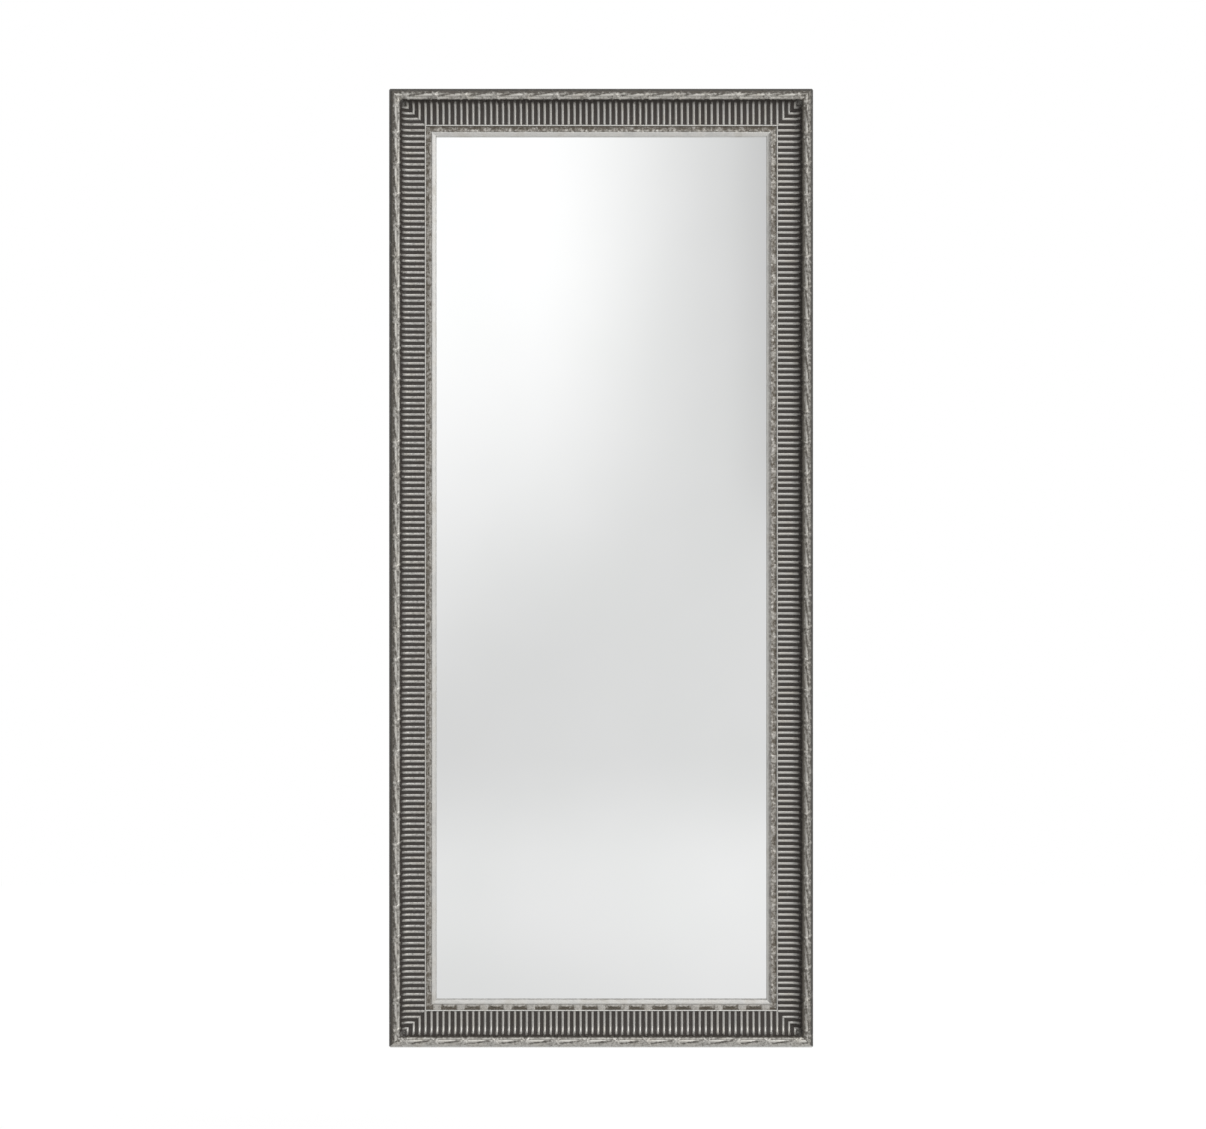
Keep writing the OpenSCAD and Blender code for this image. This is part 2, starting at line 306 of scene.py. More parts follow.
def ramp(tree, value, start, end, low=0.0, high=1.0):
    """A value that rises smoothly from low to high between start and end."""
    inputs = {"Value": value, "From Min": start, "From Max": end, "To Min": low, "To Max": high}
    return put(tree, "MapRange", inputs, interpolation_type="SMOOTHSTEP").outputs["Result"]


def mix_colours(tree, factor, first, second):
    """Mixes two colours."""
    made = put(tree, "Mix", {}, data_type="RGBA")
    plug(tree, made.inputs["Factor"], factor)
    plug(tree, made.inputs[6], first)
    plug(tree, made.inputs[7], second)
    return made.outputs[2]


def mix_values(tree, factor, first, second):
    """Mixes two values."""
    return put(tree, "Mix", {0: factor, 2: first, 3: second}, data_type="FLOAT").outputs[0]


def noise(tree, point, scale, detail, roughness=0.55):
    """Soft noise from 0 to 1, with its scale in features a metre."""
    inputs = {"Vector": point, "Scale": scale, "Detail": detail, "Roughness": roughness}
    return put(tree, "TexNoise", inputs).outputs["Fac"]


def stretched(tree, point, scale):
    """The same point with its axes scaled, for streaks."""
    return put(tree, "Mapping", {"Vector": point, "Scale": scale}).outputs["Vector"]


def object_point(tree):
    """The place on the piece, in metres."""
    return put(tree, "TexCoord").outputs["Object"]


def attribute(tree, name):
    """A value stored on the piece's points."""
    return put(tree, "Attribute", attribute_name=name).outputs["Fac"]


def empty_tree(owner):
    """The nodes of a material or the world, cleared of what they start with."""
    owner.use_nodes = True
    owner.node_tree.nodes.clear()
    return owner.node_tree


def start_group(name, inputs, outputs):
    """A shader node group with named inputs and outputs."""
    tree = bpy.data.node_groups.new(name, "ShaderNodeTree")
    for label, kind, value in inputs:
        socket = tree.interface.new_socket(name=label, in_out="INPUT", socket_type="NodeSocket" + kind)
        if value is not None:
            socket.default_value = value
    for label, kind in outputs:
        tree.interface.new_socket(name=label, in_out="OUTPUT", socket_type="NodeSocket" + kind)
    return tree, tree.nodes.new("NodeGroupInput"), tree.nodes.new("NodeGroupOutput")


def place_group(tree, group, inputs):
    """Places a node group in a material and gives its inputs."""
    made = tree.nodes.new("ShaderNodeGroup")
    made.node_tree = group
    for name, value in inputs.items():
        plug(tree, made.inputs[name], value)
    return made.outputs


def start_material(name, **constants):
    """A material with one Principled BSDF, whose constants are set on its own sockets."""
    material = bpy.data.materials.new(name)
    tree = empty_tree(material)
    shader = put(tree, "BsdfPrincipled")
    for label, value in constants.items():
        shader.inputs[label.replace("_", " ")].default_value = value
    put(tree, "OutputMaterial", {"Surface": shader.outputs["BSDF"]})
    return material, tree, shader


def bump(tree, shader, height, strength, distance):
    """Feeds a height through a Bump node into the shader's normal."""
    inputs = {"Height": height, "Strength": strength, "Distance": distance}
    plug(tree, shader.inputs["Normal"], put(tree, "Bump", inputs).outputs["Normal"])


# Colours of the finishes
TARNISH = (0.36, 0.33, 0.28, 1)
PEWTERS = ((0.045, 0.042, 0.038, 1), (0.085, 0.080, 0.072, 1))
RUBBED_PEWTER = (0.34, 0.33, 0.31, 1)
WOODS = ((0.52, 0.36, 0.21, 1), (0.34, 0.21, 0.11, 1))
WOOD_FIBRE = (0.24, 0.14, 0.07, 1)
GLASS_TINTS = ((0.925, 0.935, 0.93, 1), (0.945, 0.95, 0.95, 1))
BOARD_BROWNS = ((0.145, 0.078, 0.040, 1), (0.30, 0.185, 0.105, 1))
BOARD_STAIN = (0.16, 0.09, 0.05, 1)
DUST = (0.20, 0.19, 0.18, 1)

# Marks on the silver leaf, by how many there are to a metre
CLOUDS, BLOTCHES, SPECKS, GRAIN = 38, 190, 620, 2400
# How much blotches and specks weigh in the wear, and the level at which they even out
BLOTCH_WEIGHT, SPECK_WEIGHT, EVEN_LEVEL = 1.3, 0.6, 0.95


def silver_leaf_group():
    """Silver leaf over dark clay: leaf tone, dark patina in the low places and painted shade where the piece
    asks for it, rubbed wear and fine marks.
    """
    inputs = [
        ("Point", "Vector", None),
        ("Patina and shade", "Float", 0.0),
        ("Leaf", "Color", (0.6, 0.6, 0.58, 1)),
        ("Dark", "Color", (0.03, 0.028, 0.026, 1)),
        ("Wear", "Float", 0.5),
    ]
    outputs = [("Color", "Color"), ("Metallic", "Float"), ("Roughness", "Float"), ("Height", "Float")]
    tree, given, result = start_group("aged silver leaf", inputs, outputs)
    point = given.outputs["Point"]
    cloud = noise(tree, point, CLOUDS, 4)
    speck = noise(tree, point, SPECKS, 3, 0.7)
    grain = noise(tree, point, GRAIN, 2)
    blotch = calculate(tree, "MULTIPLY", noise(tree, point, BLOTCHES, 3, 0.6), BLOTCH_WEIGHT)
    marks = calculate(tree, "ADD", calculate(tree, "MULTIPLY", speck, SPECK_WEIGHT), blotch)
    uneven = calculate(tree, "SUBTRACT", marks, EVEN_LEVEL)
    worn = calculate(tree, "MULTIPLY_ADD", uneven, given.outputs["Wear"])
    plug(tree, worn.node.inputs[2], given.outputs["Patina and shade"])
    mask = ramp(tree, worn, 0.12, 0.85)
    smudge = ramp(tree, cloud, 0.42, 0.75)
    tone = ramp(tree, cloud, 0.25, 0.75, 0.80, 1.08)
    fine = ramp(tree, speck, 0.3, 0.8, 1.04, 0.86)
    bright = put(tree, "VectorMath", {0: given.outputs["Leaf"]}, operation="SCALE")
    plug(tree, bright.inputs["Scale"], calculate(tree, "MULTIPLY", tone, fine))
    warm = mix_colours(tree, calculate(tree, "MULTIPLY", smudge, 0.5), bright.outputs[0], TARNISH)
    plug(tree, result.inputs["Color"], mix_colours(tree, mask, warm, given.outputs["Dark"]))
    clean = calculate(tree, "SUBTRACT", 1.0, mask)
    plug(tree, result.inputs["Metallic"], calculate(tree, "MULTIPLY", clean, 0.92))
    rougher = calculate(tree, "MULTIPLY", mask, 0.22)
    rubbed = ramp(tree, cloud, 0.3, 0.7, 0.30, 0.42)
    plug(tree, result.inputs["Roughness"], calculate(tree, "ADD", rubbed, rougher))
    plug(tree, result.inputs["Height"], mix_values(tree, 0.3, speck, grain))
    return tree


SILVER_LEAF = silver_leaf_group()


def silver_material(name, leaf, dark, wear, bump_strength=0.25):
    """Aged silver leaf that follows the patina and painted shade stored on the piece."""
    material, tree, shader = start_material(name, IOR=1.5, Specular_IOR_Level=0.4)
    point = object_point(tree)
    made = place_group(tree, SILVER_LEAF, {
        "Point": point,
        "Patina and shade": attribute(tree, "patina_and_shade"),
        "Leaf": (*leaf, 1),
        "Dark": (*dark, 1),
        "Wear": wear,
    })
    plug(tree, shader.inputs["Base Color"], made["Color"])
    plug(tree, shader.inputs["Metallic"], made["Metallic"])
    plug(tree, shader.inputs["Roughness"], made["Roughness"])
    bump(tree, shader, made["Height"], bump_strength, 0.15 * MM)
    return material


REED_SILVER = silver_material("reeded silver leaf", (0.59, 0.575, 0.545), (0.036, 0.030, 0.026), 0.8)
RIBBON_SILVER = silver_material("ribbon silver leaf", (0.68, 0.66, 0.615), (0.075, 0.067, 0.056), 1.0)
LEAF_SILVER = silver_material("leaf run silver", (0.688, 0.665, 0.622), (0.095, 0.081, 0.063), 1.1)
LIP_SILVER = silver_material("lip silver leaf", (0.765, 0.755, 0.725), (0.07, 0.062, 0.054), 0.35, 0.12)


def edge_paint():
    """Dark pewter paint on the outer edges, rubbed through to silver here and there."""
    material, tree, shader = start_material("pewter edge paint")
    point = object_point(tree)
    rub = ramp(tree, noise(tree, point, 55, 6, 0.7), 0.56, 0.72)
    tone = mix_colours(tree, noise(tree, point, 18, 3), *PEWTERS)
    colour = mix_colours(tree, calculate(tree, "MULTIPLY", rub, 0.55), tone, RUBBED_PEWTER)
    plug(tree, shader.inputs["Base Color"], colour)
    plug(tree, shader.inputs["Metallic"], calculate(tree, "MULTIPLY", rub, 0.6))
    plug(tree, shader.inputs["Roughness"], ramp(tree, noise(tree, point, 240, 3), 0.3, 0.7, 0.42, 0.58))
    bump(tree, shader, noise(tree, stretched(tree, point, (1, 1, 0.2)), 700, 3), 0.2, 0.1 * MM)
    return material


def bare_timber():
    """Unfinished softwood with its grain along the side that it is on."""
    material, tree, shader = start_material("bare timber")
    point = put(tree, "Attribute", attribute_name="grain").outputs["Vector"]
    rings = noise(tree, stretched(tree, point, (3.5, 90, 90)), 1.0, 5, 0.6)
    fibre = noise(tree, stretched(tree, point, (40, 1400, 1400)), 1.0, 2)
    wood = mix_colours(tree, ramp(tree, rings, 0.35, 0.65), *WOODS)
    streak = ramp(tree, fibre, 0.4, 0.8, 0, 0.35)
    plug(tree, shader.inputs["Base Color"], mix_colours(tree, streak, wood, WOOD_FIBRE))
    plug(tree, shader.inputs["Roughness"], ramp(tree, fibre, 0.2, 0.8, 0.62, 0.8))
    bump(tree, shader, fibre, 0.3, 0.2 * MM)
    return material


EDGE_PAINT = edge_paint()
BARE_TIMBER = bare_timber()


def mirror_silver():
    """Silvered glass: a clear, faintly green mirror."""
    material, tree, shader = start_material("silvered glass", Metallic=1.0, Roughness=0.0)
    haze = ramp(tree, noise(tree, object_point(tree), 3.0, 3), 0.3, 0.7, 0.0, 1.0)
    plug(tree, shader.inputs["Base Color"], mix_colours(tree, haze, *GLASS_TINTS))
    return material


# Timber sides with their fillet and lip
LEAFED, PAINTED, BARE = 0, 1, 2
CORNER_FLAT = 2.2 * MM
# Painted shade on the lip and the sight wall, heavier on some sides than on others
LIP_SHADE_BY_SIDE = {"bottom": 0.0, "left": 0.0, "top": 0.1, "right": 0.6}
SIGHT_SHADE_BY_SIDE = {"bottom": 0.5, "left": 0.1, "top": 0.0, "right": 0.0}
LEDGE_PATINA, FOOT_PATINA, CHANNEL_PATINA = 0.3, 0.9, 0.55


def timber_outline():
    """Section of a side, from the back's inner edge round the outer edge to the glass."""
    arris = 1.2 * MM
    back_cut = 0.6 * MM
    cove_start = 198
    fillet_r = (LEAVES_START - REEDS_END) / 2
    shoulder = 0.8 * MM
    crown_r = 16 * MM
    fall = 16
    lip_r = 1.6 * MM
    crown = arc((LEAVES_END + shoulder, LIP_H - crown_r), crown_r, 90, 90 - fall, 6)
    edge_h = crown[-1][1] - lip_r * math.cos(math.radians(fall))
    outline = [(REBATE_U, 0), (back_cut, 0), (0, back_cut)]
    outline += arc((arris, LEDGE_H - arris), arris, 180, 90, 4)
    outline += [(REEDS_START - FACING_T, LEDGE_H)]
    outline += arc((COVE_END, LEDGE_H), COVE_R + FACING_T, cove_start, 270, 4)
    outline += [(REEDS_END, FACING_BACK_H)]
    outline += arc((REEDS_END + fillet_r, FILLET_H - fillet_r), fillet_r, 180, 0, 8)
    outline += [(LEAVES_START, CHANNEL_H), (LEAVES_END, CHANNEL_H)]
    outline += arc((LEAVES_END + shoulder, LIP_H - shoulder), shoulder, 180, 90, 4)
    outline += crown[1:]
    outline += arc((MOULDING_W - lip_r, edge_h), lip_r, 90 - fall, 0, 7)
    outline += [(MOULDING_W, REBATE_H), (REBATE_U, REBATE_H)]
    return outline


def timber_finish(side, normal, place):
    """Paint outside, silver leaf on the fillet, the lip and the bottom's ledge, and bare timber elsewhere."""
    u, v = place.y, place.z
    slack = 0.1 * MM
    on_ledge = v > LEDGE_H - MM
    if side == "bottom" and u > 0.5 * MM and on_ledge:
        return LEAFED
    corner = abs(normal.x) > 0.5 and normal.y < -0.5
    if corner or on_ledge or (u < RIBBON_START and v > MM):
        return PAINTED
    on_fillet = REEDS_END - slack < u < LEAVES_START + slack and v > CHANNEL_H
    on_lip = u > LEAVES_END - slack and v > REBATE_H + MM
    return LEAFED if on_fillet or on_lip else BARE


def timber_patina_and_shade(side):
    """Dark at the foot of the fillet, in the channel and beside the lip, with painted shade on the lip and
    the sight wall of some sides.
    """
    def rule(along, u, v):
        if u < REEDS_START:
            return LEDGE_PATINA
        if u < LEAVES_START + MM:
            return FOOT_PATINA * (1 - ease(v, BAND_H - 0.4 * MM, FILLET_H - MM))
        # Painted shade on the sight wall, heavier on some sides
        if u > MOULDING_W - 0.5 * MM:
            return SIGHT_SHADE_BY_SIDE[side]
        # Painted shade over the lip's outer part, heavier on some sides
        on_lip = 1 - ease(u, LEAVES_END + 4 * MM, MOULDING_W - 2 * MM)
        in_channel = 1 - ease(u, LEAVES_END, LEAVES_END + 1.6 * MM)
        return max(LIP_SHADE_BY_SIDE[side] * on_lip, CHANNEL_PATINA * in_channel)
    return rule


def add_timber(side):
    """One timber side, drawn in to its mitres, with the sharp points of its outer corners taken off."""
    length = side_length(side)
    bm = bmesh.new()
    extrude_section(bm, timber_outline(), length)
    for vert in bm.verts:
        vert.co.x -= math.copysign(vert.co.y + JOINT_GAP, vert.co.x)
    close_ends(bm)
    cut_ends(bm, length / 2 - CORNER_FLAT, -1)
    shade(bm, 30)
    for face in bm.faces:
        face.material_index = timber_finish(side, face.normal, face.calc_center_median())
    mark_patina_and_shade(bm, timber_patina_and_shade(side))
    mark_grain(bm)
    bm.transform(side_place(side))
    node = TIMBER_NODES[side]
    add_piece(node + "_moulding", bm, (LIP_SILVER, EDGE_PAINT, BARE_TIMBER), (node,))


# Reeded facings
# Half the outline of one reed, in millimetres from its middle and from the ground, from its foot to its crest
REED_HALF = ((2.5, 0.0), (2.25, 1.2), (1.55, 1.98), (0.55, 2.24))
REED_WANDER = 0.12 * MM
REED_PLUMP = 0.95
# The reeds start low at the ledge and reach their height after this turn round the cove
REED_START, REED_START_TURN = 0.35, 25
REED_MARGIN = 30 * MM
REED_PITCH = {"bottom": 10.1 * MM, "top": 10.1 * MM, "left": 9.65 * MM, "right": 9.65 * MM}
COVE_STEPS = 5
REED_SEED = 11
# Patina: where it fades on a reed and how much the corners are rubbed; painted shade: how dark it makes the
# crests under the ribbon run and how far it reaches into the cove
REED_FOOT_H, REED_CREST_H = -0.2 * MM, 1.7 * MM
CORNER_RUB, CORNER_RUB_W = 0.45, 5 * MM
COVE_SHADE, COVE_SHADE_START = 0.9, 0.5 * MM
COVE_SHADE_W = {"bottom": 8 * MM, "left": 10 * MM, "top": 11 * MM, "right": 14 * MM}
# Painted shade darkening the crests of some sides
CREST_SHADE_BY_SIDE = {"bottom": 0.0, "left": 0.3, "top": 0.1, "right": 0.0}


def reed_comb(side, hand):
    """The facing seen end on at the top of the cove: places along the side and heights of its front."""
    length = side_length(side)
    comb = [(-length / 2, 0.0)]
    for place in spaced(length - 2 * REED_MARGIN, REED_PITCH[side]):
        middle = place + hand.uniform(-REED_WANDER, REED_WANDER)
        plump = hand.uniform(REED_PLUMP, 1.0) * MM
        comb += [(middle - off * MM, h * plump) for off, h in REED_HALF]
        comb += [(middle + off * MM, h * plump) for off, h in reversed(REED_HALF)]
    return comb + [(length / 2, 0.0)]


def height_in_facing(u, v):
    """Height of a point over the ground of the reeded facing."""
    if u >= COVE_END:
        return v - BAND_H
    return COVE_R - math.hypot(u - COVE_END, v - LEDGE_H)


def reed_patina_and_shade(side):
    """Patina between the reeds, painted shade under the ribbon run and on some sides' crests, rubbed on the
    crests and a little in the corners.
    """
    last_reed = side_length(side) / 2 - REED_MARGIN

    def rule(along, u, v):
        crest = ease(height_in_facing(u, v), REED_FOOT_H, REED_CREST_H)
        # Painted shade under the ribbon run, at the top of the cove
        shadow = 1 - ease(u, REEDS_START + COVE_SHADE_START, REEDS_START + COVE_SHADE_W[side])
        corner = CORNER_RUB * ease(abs(along), last_reed, last_reed + CORNER_RUB_W)
        return max(CREST_SHADE_BY_SIDE[side], 1 - crest * (1 - COVE_SHADE * shadow) - corner)
    return rule


def add_reeds(side):
    """A reeded facing: its edge is spun round the cove, run across the band and mitred."""
    length = side_length(side)
    comb = reed_comb(side, random.Random(SIDES[side] + REED_SEED))
    back = REEDS_START - FACING_T
    outline = [(s, REEDS_START + h, LEDGE_H) for s, h in comb]
    outline += [(length / 2, back, LEDGE_H), (-length / 2, back, LEDGE_H)]
    bm = bmesh.new()
    start = ring(bm, outline)
    last = spin_on(bm, start, (0, COVE_END, LEDGE_H), (1, 0, 0), math.pi / 2, COVE_STEPS)
    push_on(bm, last, (0, REEDS_END - COVE_END, 0))
    for vert in bm.verts:
        u, v = vert.co.y, vert.co.z
        height = height_in_facing(u, v)
        if u < COVE_END and height > 0:
            turned = math.degrees(math.atan2(LEDGE_H - v, COVE_END - u))
            lowered = height * blend(REED_START, 1, ease(turned, 0, REED_START_TURN))
            out = Vector((0, u - COVE_END, v - LEDGE_H)).normalized()
            vert.co = Vector((vert.co.x, COVE_END, LEDGE_H)) + out * (COVE_R - lowered)
    close_ends(bm)
    add_run(side, bm, 40, reed_patina_and_shade(side), REED_SILVER, "reeded_facing", "reeds")


# Ribbon and bundle runs
RIBBON_MID = (RIBBON_START + RIBBON_END) / 2
RIBBON_HALF = (RIBBON_END - RIBBON_START) / 2
RIBBON_RISE = CROWN_H - LEDGE_H
TIE_R = (RIBBON_HALF ** 2 + RIBBON_RISE ** 2) / (2 * RIBBON_RISE)
TIE_MID_H = CROWN_H - TIE_R
TIE_PITCH = 52.7 * MM
TIE_L = 14 * MM
TIE_PROUD = 0.6 * MM
STICK_R = TIE_R * 0.38
STICK_REACH = TIE_R - TIE_PROUD - STICK_R
STICK_TURN = 58
BUNDLE_TURNS = (10, 20, 29, 38, 48, 58, 70, 80, 90)
BUNDLE_ANGLES = (*(-turn for turn in reversed(BUNDLE_TURNS)), 0, *BUNDLE_TURNS)
LOBE_STEPS = 16
# How far the bundle is drawn together at a tie, and how blunt its lobes are
NECK_SPREAD, NECK_RADIUS = 0.72, 0.95
LOBE_BLUNT = 0.55
RUN_SUNK = 0.3 * MM


def bundle_radius(angle):
    """How far the bundle reaches at an angle from straight up, in the middle of a lobe."""
    reach = STICK_REACH
    for stick in (-STICK_TURN, 0, STICK_TURN):
        turn = math.radians(angle - stick)
        beside = STICK_REACH * math.sin(turn)
        if abs(turn) < math.pi / 2 and abs(beside) < STICK_R:
            reach = max(reach, STICK_REACH * math.cos(turn) + math.sqrt(STICK_R ** 2 - beside ** 2))
    return reach


def lobe_swell(place, ties):
    """0 at a tie and 1 halfway between two of them."""
    step = ties[1] - ties[0]
    share = ((place - ties[0]) / step) % 1
    return math.sin(math.pi * share) ** LOBE_BLUNT


def around_tie(turned, radius):
    """Where a point of the section lies that is turned from straight up, no lower than the run's foot."""
    u = RIBBON_MID + radius * math.sin(turned)
    v = TIE_MID_H + radius * math.cos(turned)
    return u, max(v, LEDGE_H - RUN_SUNK)


def bundle_point(angle, swell):
    """A point of the bundle's section, drawn together towards a tie."""
    spread = blend(NECK_SPREAD, 1, swell)
    turned = math.radians(angle * blend(spread, 1, abs(angle / 90) ** 3))
    return around_tie(turned, bundle_radius(angle) * blend(NECK_RADIUS, 1, swell))


def add_bundle(bm, length, ties):
    """The bundle of sticks, extruded from station to station."""
    step = ties[1] - ties[0]
    stations = []
    count = round((length + step) / step)
    first = ties[0] - step
    for lobe in range(count + 1):
        stations += [first + step * (lobe + i / LOBE_STEPS) for i in range(LOBE_STEPS)]
    stations = [s for s in stations if abs(s) < length / 2 + step / LOBE_STEPS]
    swell = lobe_swell(stations[0], ties)
    edges = ring(bm, [(stations[0], *bundle_point(angle, swell)) for angle in BUNDLE_ANGLES])
    for before, station in zip(stations, stations[1:]):
        edges, corners = push_on(bm, edges, (station - before, 0, 0))
        swell = lobe_swell(station, ties)
        shaped = [bundle_point(angle, swell) for angle in BUNDLE_ANGLES]
        for vert, (u, v) in zip(sort_round(corners), shaped):
            vert.co.y = u
            vert.co.z = v
    close_ends(bm)


def sort_round(corners):
    """Section points in the order of their angle round the middle of the ribbon run."""
    return sorted(corners, key=lambda vert: math.atan2(vert.co.y - RIBBON_MID, vert.co.z - TIE_MID_H))


# Half the section of a band, in millimetres from its middle and under the ties' half-round
BAND_HALF = ((1.1, 0.3), (2.0, 0.6), (2.7, 1.15), (2.9, 2.0))
BAND_CROWN = (0, -0.18)
BAND_SECTION = (
    *((-aside, -under) for aside, under in reversed(BAND_HALF)),
    BAND_CROWN,
    *((aside, -under) for aside, under in BAND_HALF),
)
BAND_STEPS = 12
BAND_TURN = 86
BAND_DIP = 0.45 * MM
KNOT_L, KNOT_W, KNOT_H = 9 * MM, 6.4 * MM, 1.1 * MM


def band_points(way, turned):
    """The section of one band of a tie where it has turned this far over the bundle."""
    slope = way * TIE_L / (2 * RIBBON_HALF)
    lean = math.atan(slope)
    under = 0.0 if way > 0 else BAND_DIP * (1 - ease(abs(turned), 0.25, 0.7))
    points = []
    for aside, rise in BAND_SECTION:
        s = slope * TIE_R * math.sin(turned) + aside * MM * math.cos(lean)
        tilt = turned - aside * MM * math.sin(lean) / TIE_R
        points.append((s, *around_tie(tilt, TIE_R + rise * MM - under)))
    return points


def add_band(bm, way):
    """One band of a tie, carried over the bundle in short steps."""
    turns = [math.radians(blend(-BAND_TURN, BAND_TURN, i / BAND_STEPS)) for i in range(BAND_STEPS + 1)]
    here = band_points(way, turns[0])
    edges = ring(bm, here)
    for turned in turns[1:]:
        there = band_points(way, turned)
        edges, corners = push_on(bm, edges, (0, 0, 0))
        moves = dict(zip(here, there))
        for vert in corners:
            vert.co = moves[min(here, key=lambda place: (Vector(place) - vert.co).length)]
        here = there
    close_ends(bm)


def tie_template():
    """One tie: two crossed bands, the second passing over the first, and a soft knot where they meet."""
    bm = bmesh.new()
    for way in (-1, 1):
        add_band(bm, way)
    known = len(bm.verts)
    bmesh.ops.create_uvsphere(bm, u_segments=12, v_segments=6, radius=1)
    bm.verts.ensure_lookup_table()
    for vert in bm.verts[known:]:
        s, aside, up = vert.co
        turned = aside * KNOT_W / 2 / TIE_R
        vert.co = (s * KNOT_L / 2, *around_tie(turned, TIE_R + (up - 1) * KNOT_H))
    return to_mesh(bm, "ribbon tie")


# Patina and painted shade on a run's outer flank, the angle at which painted shade darkens its inner flank,
# and how dull patina and painted shade make its lobes
FLANK_PATINA_AND_SHADE = {"bottom": 0.35, "left": 1.0, "top": 0.95, "right": 0.7}
INNER_SHADE_ANGLE = {"bottom": 30, "left": 50, "top": 46, "right": 12}
LOBE_PATINA_AND_SHADE = {"bottom": 0.42, "left": 0.5, "top": 0.46, "right": 0.62}
SLIT_DARKNESS, VALLEY_PATINA, INNER_SHADE_DARKNESS = 0.78, 0.62, 0.95
# Degrees: the slit's slant over a lobe and its shift outwards, where the painted highlight streaks beside it
# rise and fade, and where the flanks darken with patina and painted shade
SLIT_SLANT, SLIT_SHIFT = 60, 10
HIGHLIGHT_RISE, HIGHLIGHT_FADE = (12, 22), (34, 52)
OUTER_FADE, INNER_FADE = (-60, 30), 28
VALLEY_FADE = (TIE_R - 2.6 * MM, TIE_R - 1.1 * MM)
FOOT_FADE = 1.2 * MM


def ribbon_patina_shade_and_highlights(side, ties):
    """Patina in the valleys, patina and painted shade on the flanks; in each lobe two painted highlight
    streaks slant inwards beside a dull slit.
    """
    step = ties[1] - ties[0]

    def rule(along, u, v):
        angle = math.degrees(math.atan2(u - RIBBON_MID, v - TIE_MID_H))
        radius = math.hypot(u - RIBBON_MID, v - TIE_MID_H)
        swell = lobe_swell(along, ties)
        share = ((along - ties[0]) / step) % 1 - 0.5
        aside = abs(angle + SLIT_SHIFT - SLIT_SLANT * share)
        # A darker slit along each lobe, with a painted highlight streak on either side of it
        narrow = 1 - ease(aside, 4 + 4 * swell, 10 + 10 * swell)
        slit = SLIT_DARKNESS * narrow * ease(swell, 0.4, 0.8)
        streak = ease(aside, *HIGHLIGHT_RISE) * (1 - ease(aside, *HIGHLIGHT_FADE))
        # Patina and painted shade dull each lobe, heavier on some sides, lifted where the painted highlights
        # lie
        dull = LOBE_PATINA_AND_SHADE[side] * (1 - streak * ease(swell, 0.2, 0.6))
        low = VALLEY_PATINA * (1 - ease(radius, *VALLEY_FADE))
        # Patina and painted shade on the outer flank, and painted shade on the inner flank, both heavier on
        # some sides
        outer = FLANK_PATINA_AND_SHADE[side] * (1 - ease(angle, *OUTER_FADE))
        inner = INNER_SHADE_DARKNESS * ease(angle, INNER_SHADE_ANGLE[side], INNER_SHADE_ANGLE[side] + INNER_FADE)
        foot = (1 - ease(v, LEDGE_H, LEDGE_H + FOOT_FADE)) * (FLANK_PATINA_AND_SHADE[side] if angle < 0 else 1)
        return max(low, slit, dull, outer, inner, foot)
    return rule


def add_ribbon(side, tie):
    """A ribbon-and-bundle run with its ties."""
    length = side_length(side)
    ties = spaced(length - TIE_PITCH, TIE_PITCH)
    bm = bmesh.new()
    add_bundle(bm, length, ties)
    for place in ties:
        stamp(bm, tie, place)
    add_run(side, bm, 50, ribbon_patina_shade_and_highlights(side, ties), RIBBON_SILVER, "ribbon_run", "ribbon")


# Leaf runs
LEAF_PITCH = 40.4 * MM
LEAF_L = 22 * MM
LEAF_GAP = 1.4 * MM
LEAF_REACH = 7 * MM
TONGUE_REACH = 9.1 * MM
LEAF_TUCK = 0.2 * MM
STRIP_EDGE_H = CHANNEL_H + 0.8 * MM
STRIP_DROP = 0.3 * MM
LEAF_ALONG, LEAF_ACROSS = 12, 5
# Heights over the strip, with the rims sunk into it
RIM_RISE, LEAF_RISE, TONGUE_RISE, TONGUE_LAP = -0.4 * MM, 1.38 * MM, 0.85 * MM, 0.5 * MM
RIM_BLUNT = 0.6
LOBE_CUT = 0.22
LEAF_TAPER, TONGUE_TAPER = 0.45, 0.04
# Patina and painted shade on the raised leaves and on the tongues, heavier on some sides, and patina in the
# deepest places
LEAF_PATINA_AND_SHADE = {"bottom": 0.2, "left": 0.38, "top": 0.57, "right": 0.57}
TONGUE_PATINA_AND_SHADE = {"bottom": 0.4, "left": 0.75, "top": 0.78, "right": 0.6}
DEEP_PATINA = {"bottom": 1.0, "left": 0.7, "top": 0.82, "right": 0.7}
# Patina of the ground by the fillet and by the lip, and what the ends of a leaf have more
GROUND_OUTER, GROUND_INNER = 0.9, 0.35
LEAF_END_PATINA = 0.15
LEAF_CREST_H = 0.7 * MM


def strip_height(u):
    """Height of the strip that climbs from the fillet to the lip."""
    return blend(STRIP_EDGE_H, LIP_H, (u - LEAVES_START) / (LEAVES_END - LEAVES_START))


def leaf_rise(a, b):
    """How high a leaf stands at a share of its length and reach: three soft lobes with a vein between."""
    edge = min(1, min(1 - abs(a), 1 - b) * 3.2)
    lobes = 1 - LOBE_CUT + LOBE_CUT * math.cos(3 * math.pi * a)
    return blend(RIM_RISE, LEAF_RISE, edge ** RIM_BLUNT * lobes)


def tongue_rise(a, b):
    """A tongue is flatter, and laps against the fillet."""
    edge = min(1, (1 - abs(a)) * 5)
    return blend(RIM_RISE, TONGUE_RISE, edge ** RIM_BLUNT) + TONGUE_LAP * b ** 4


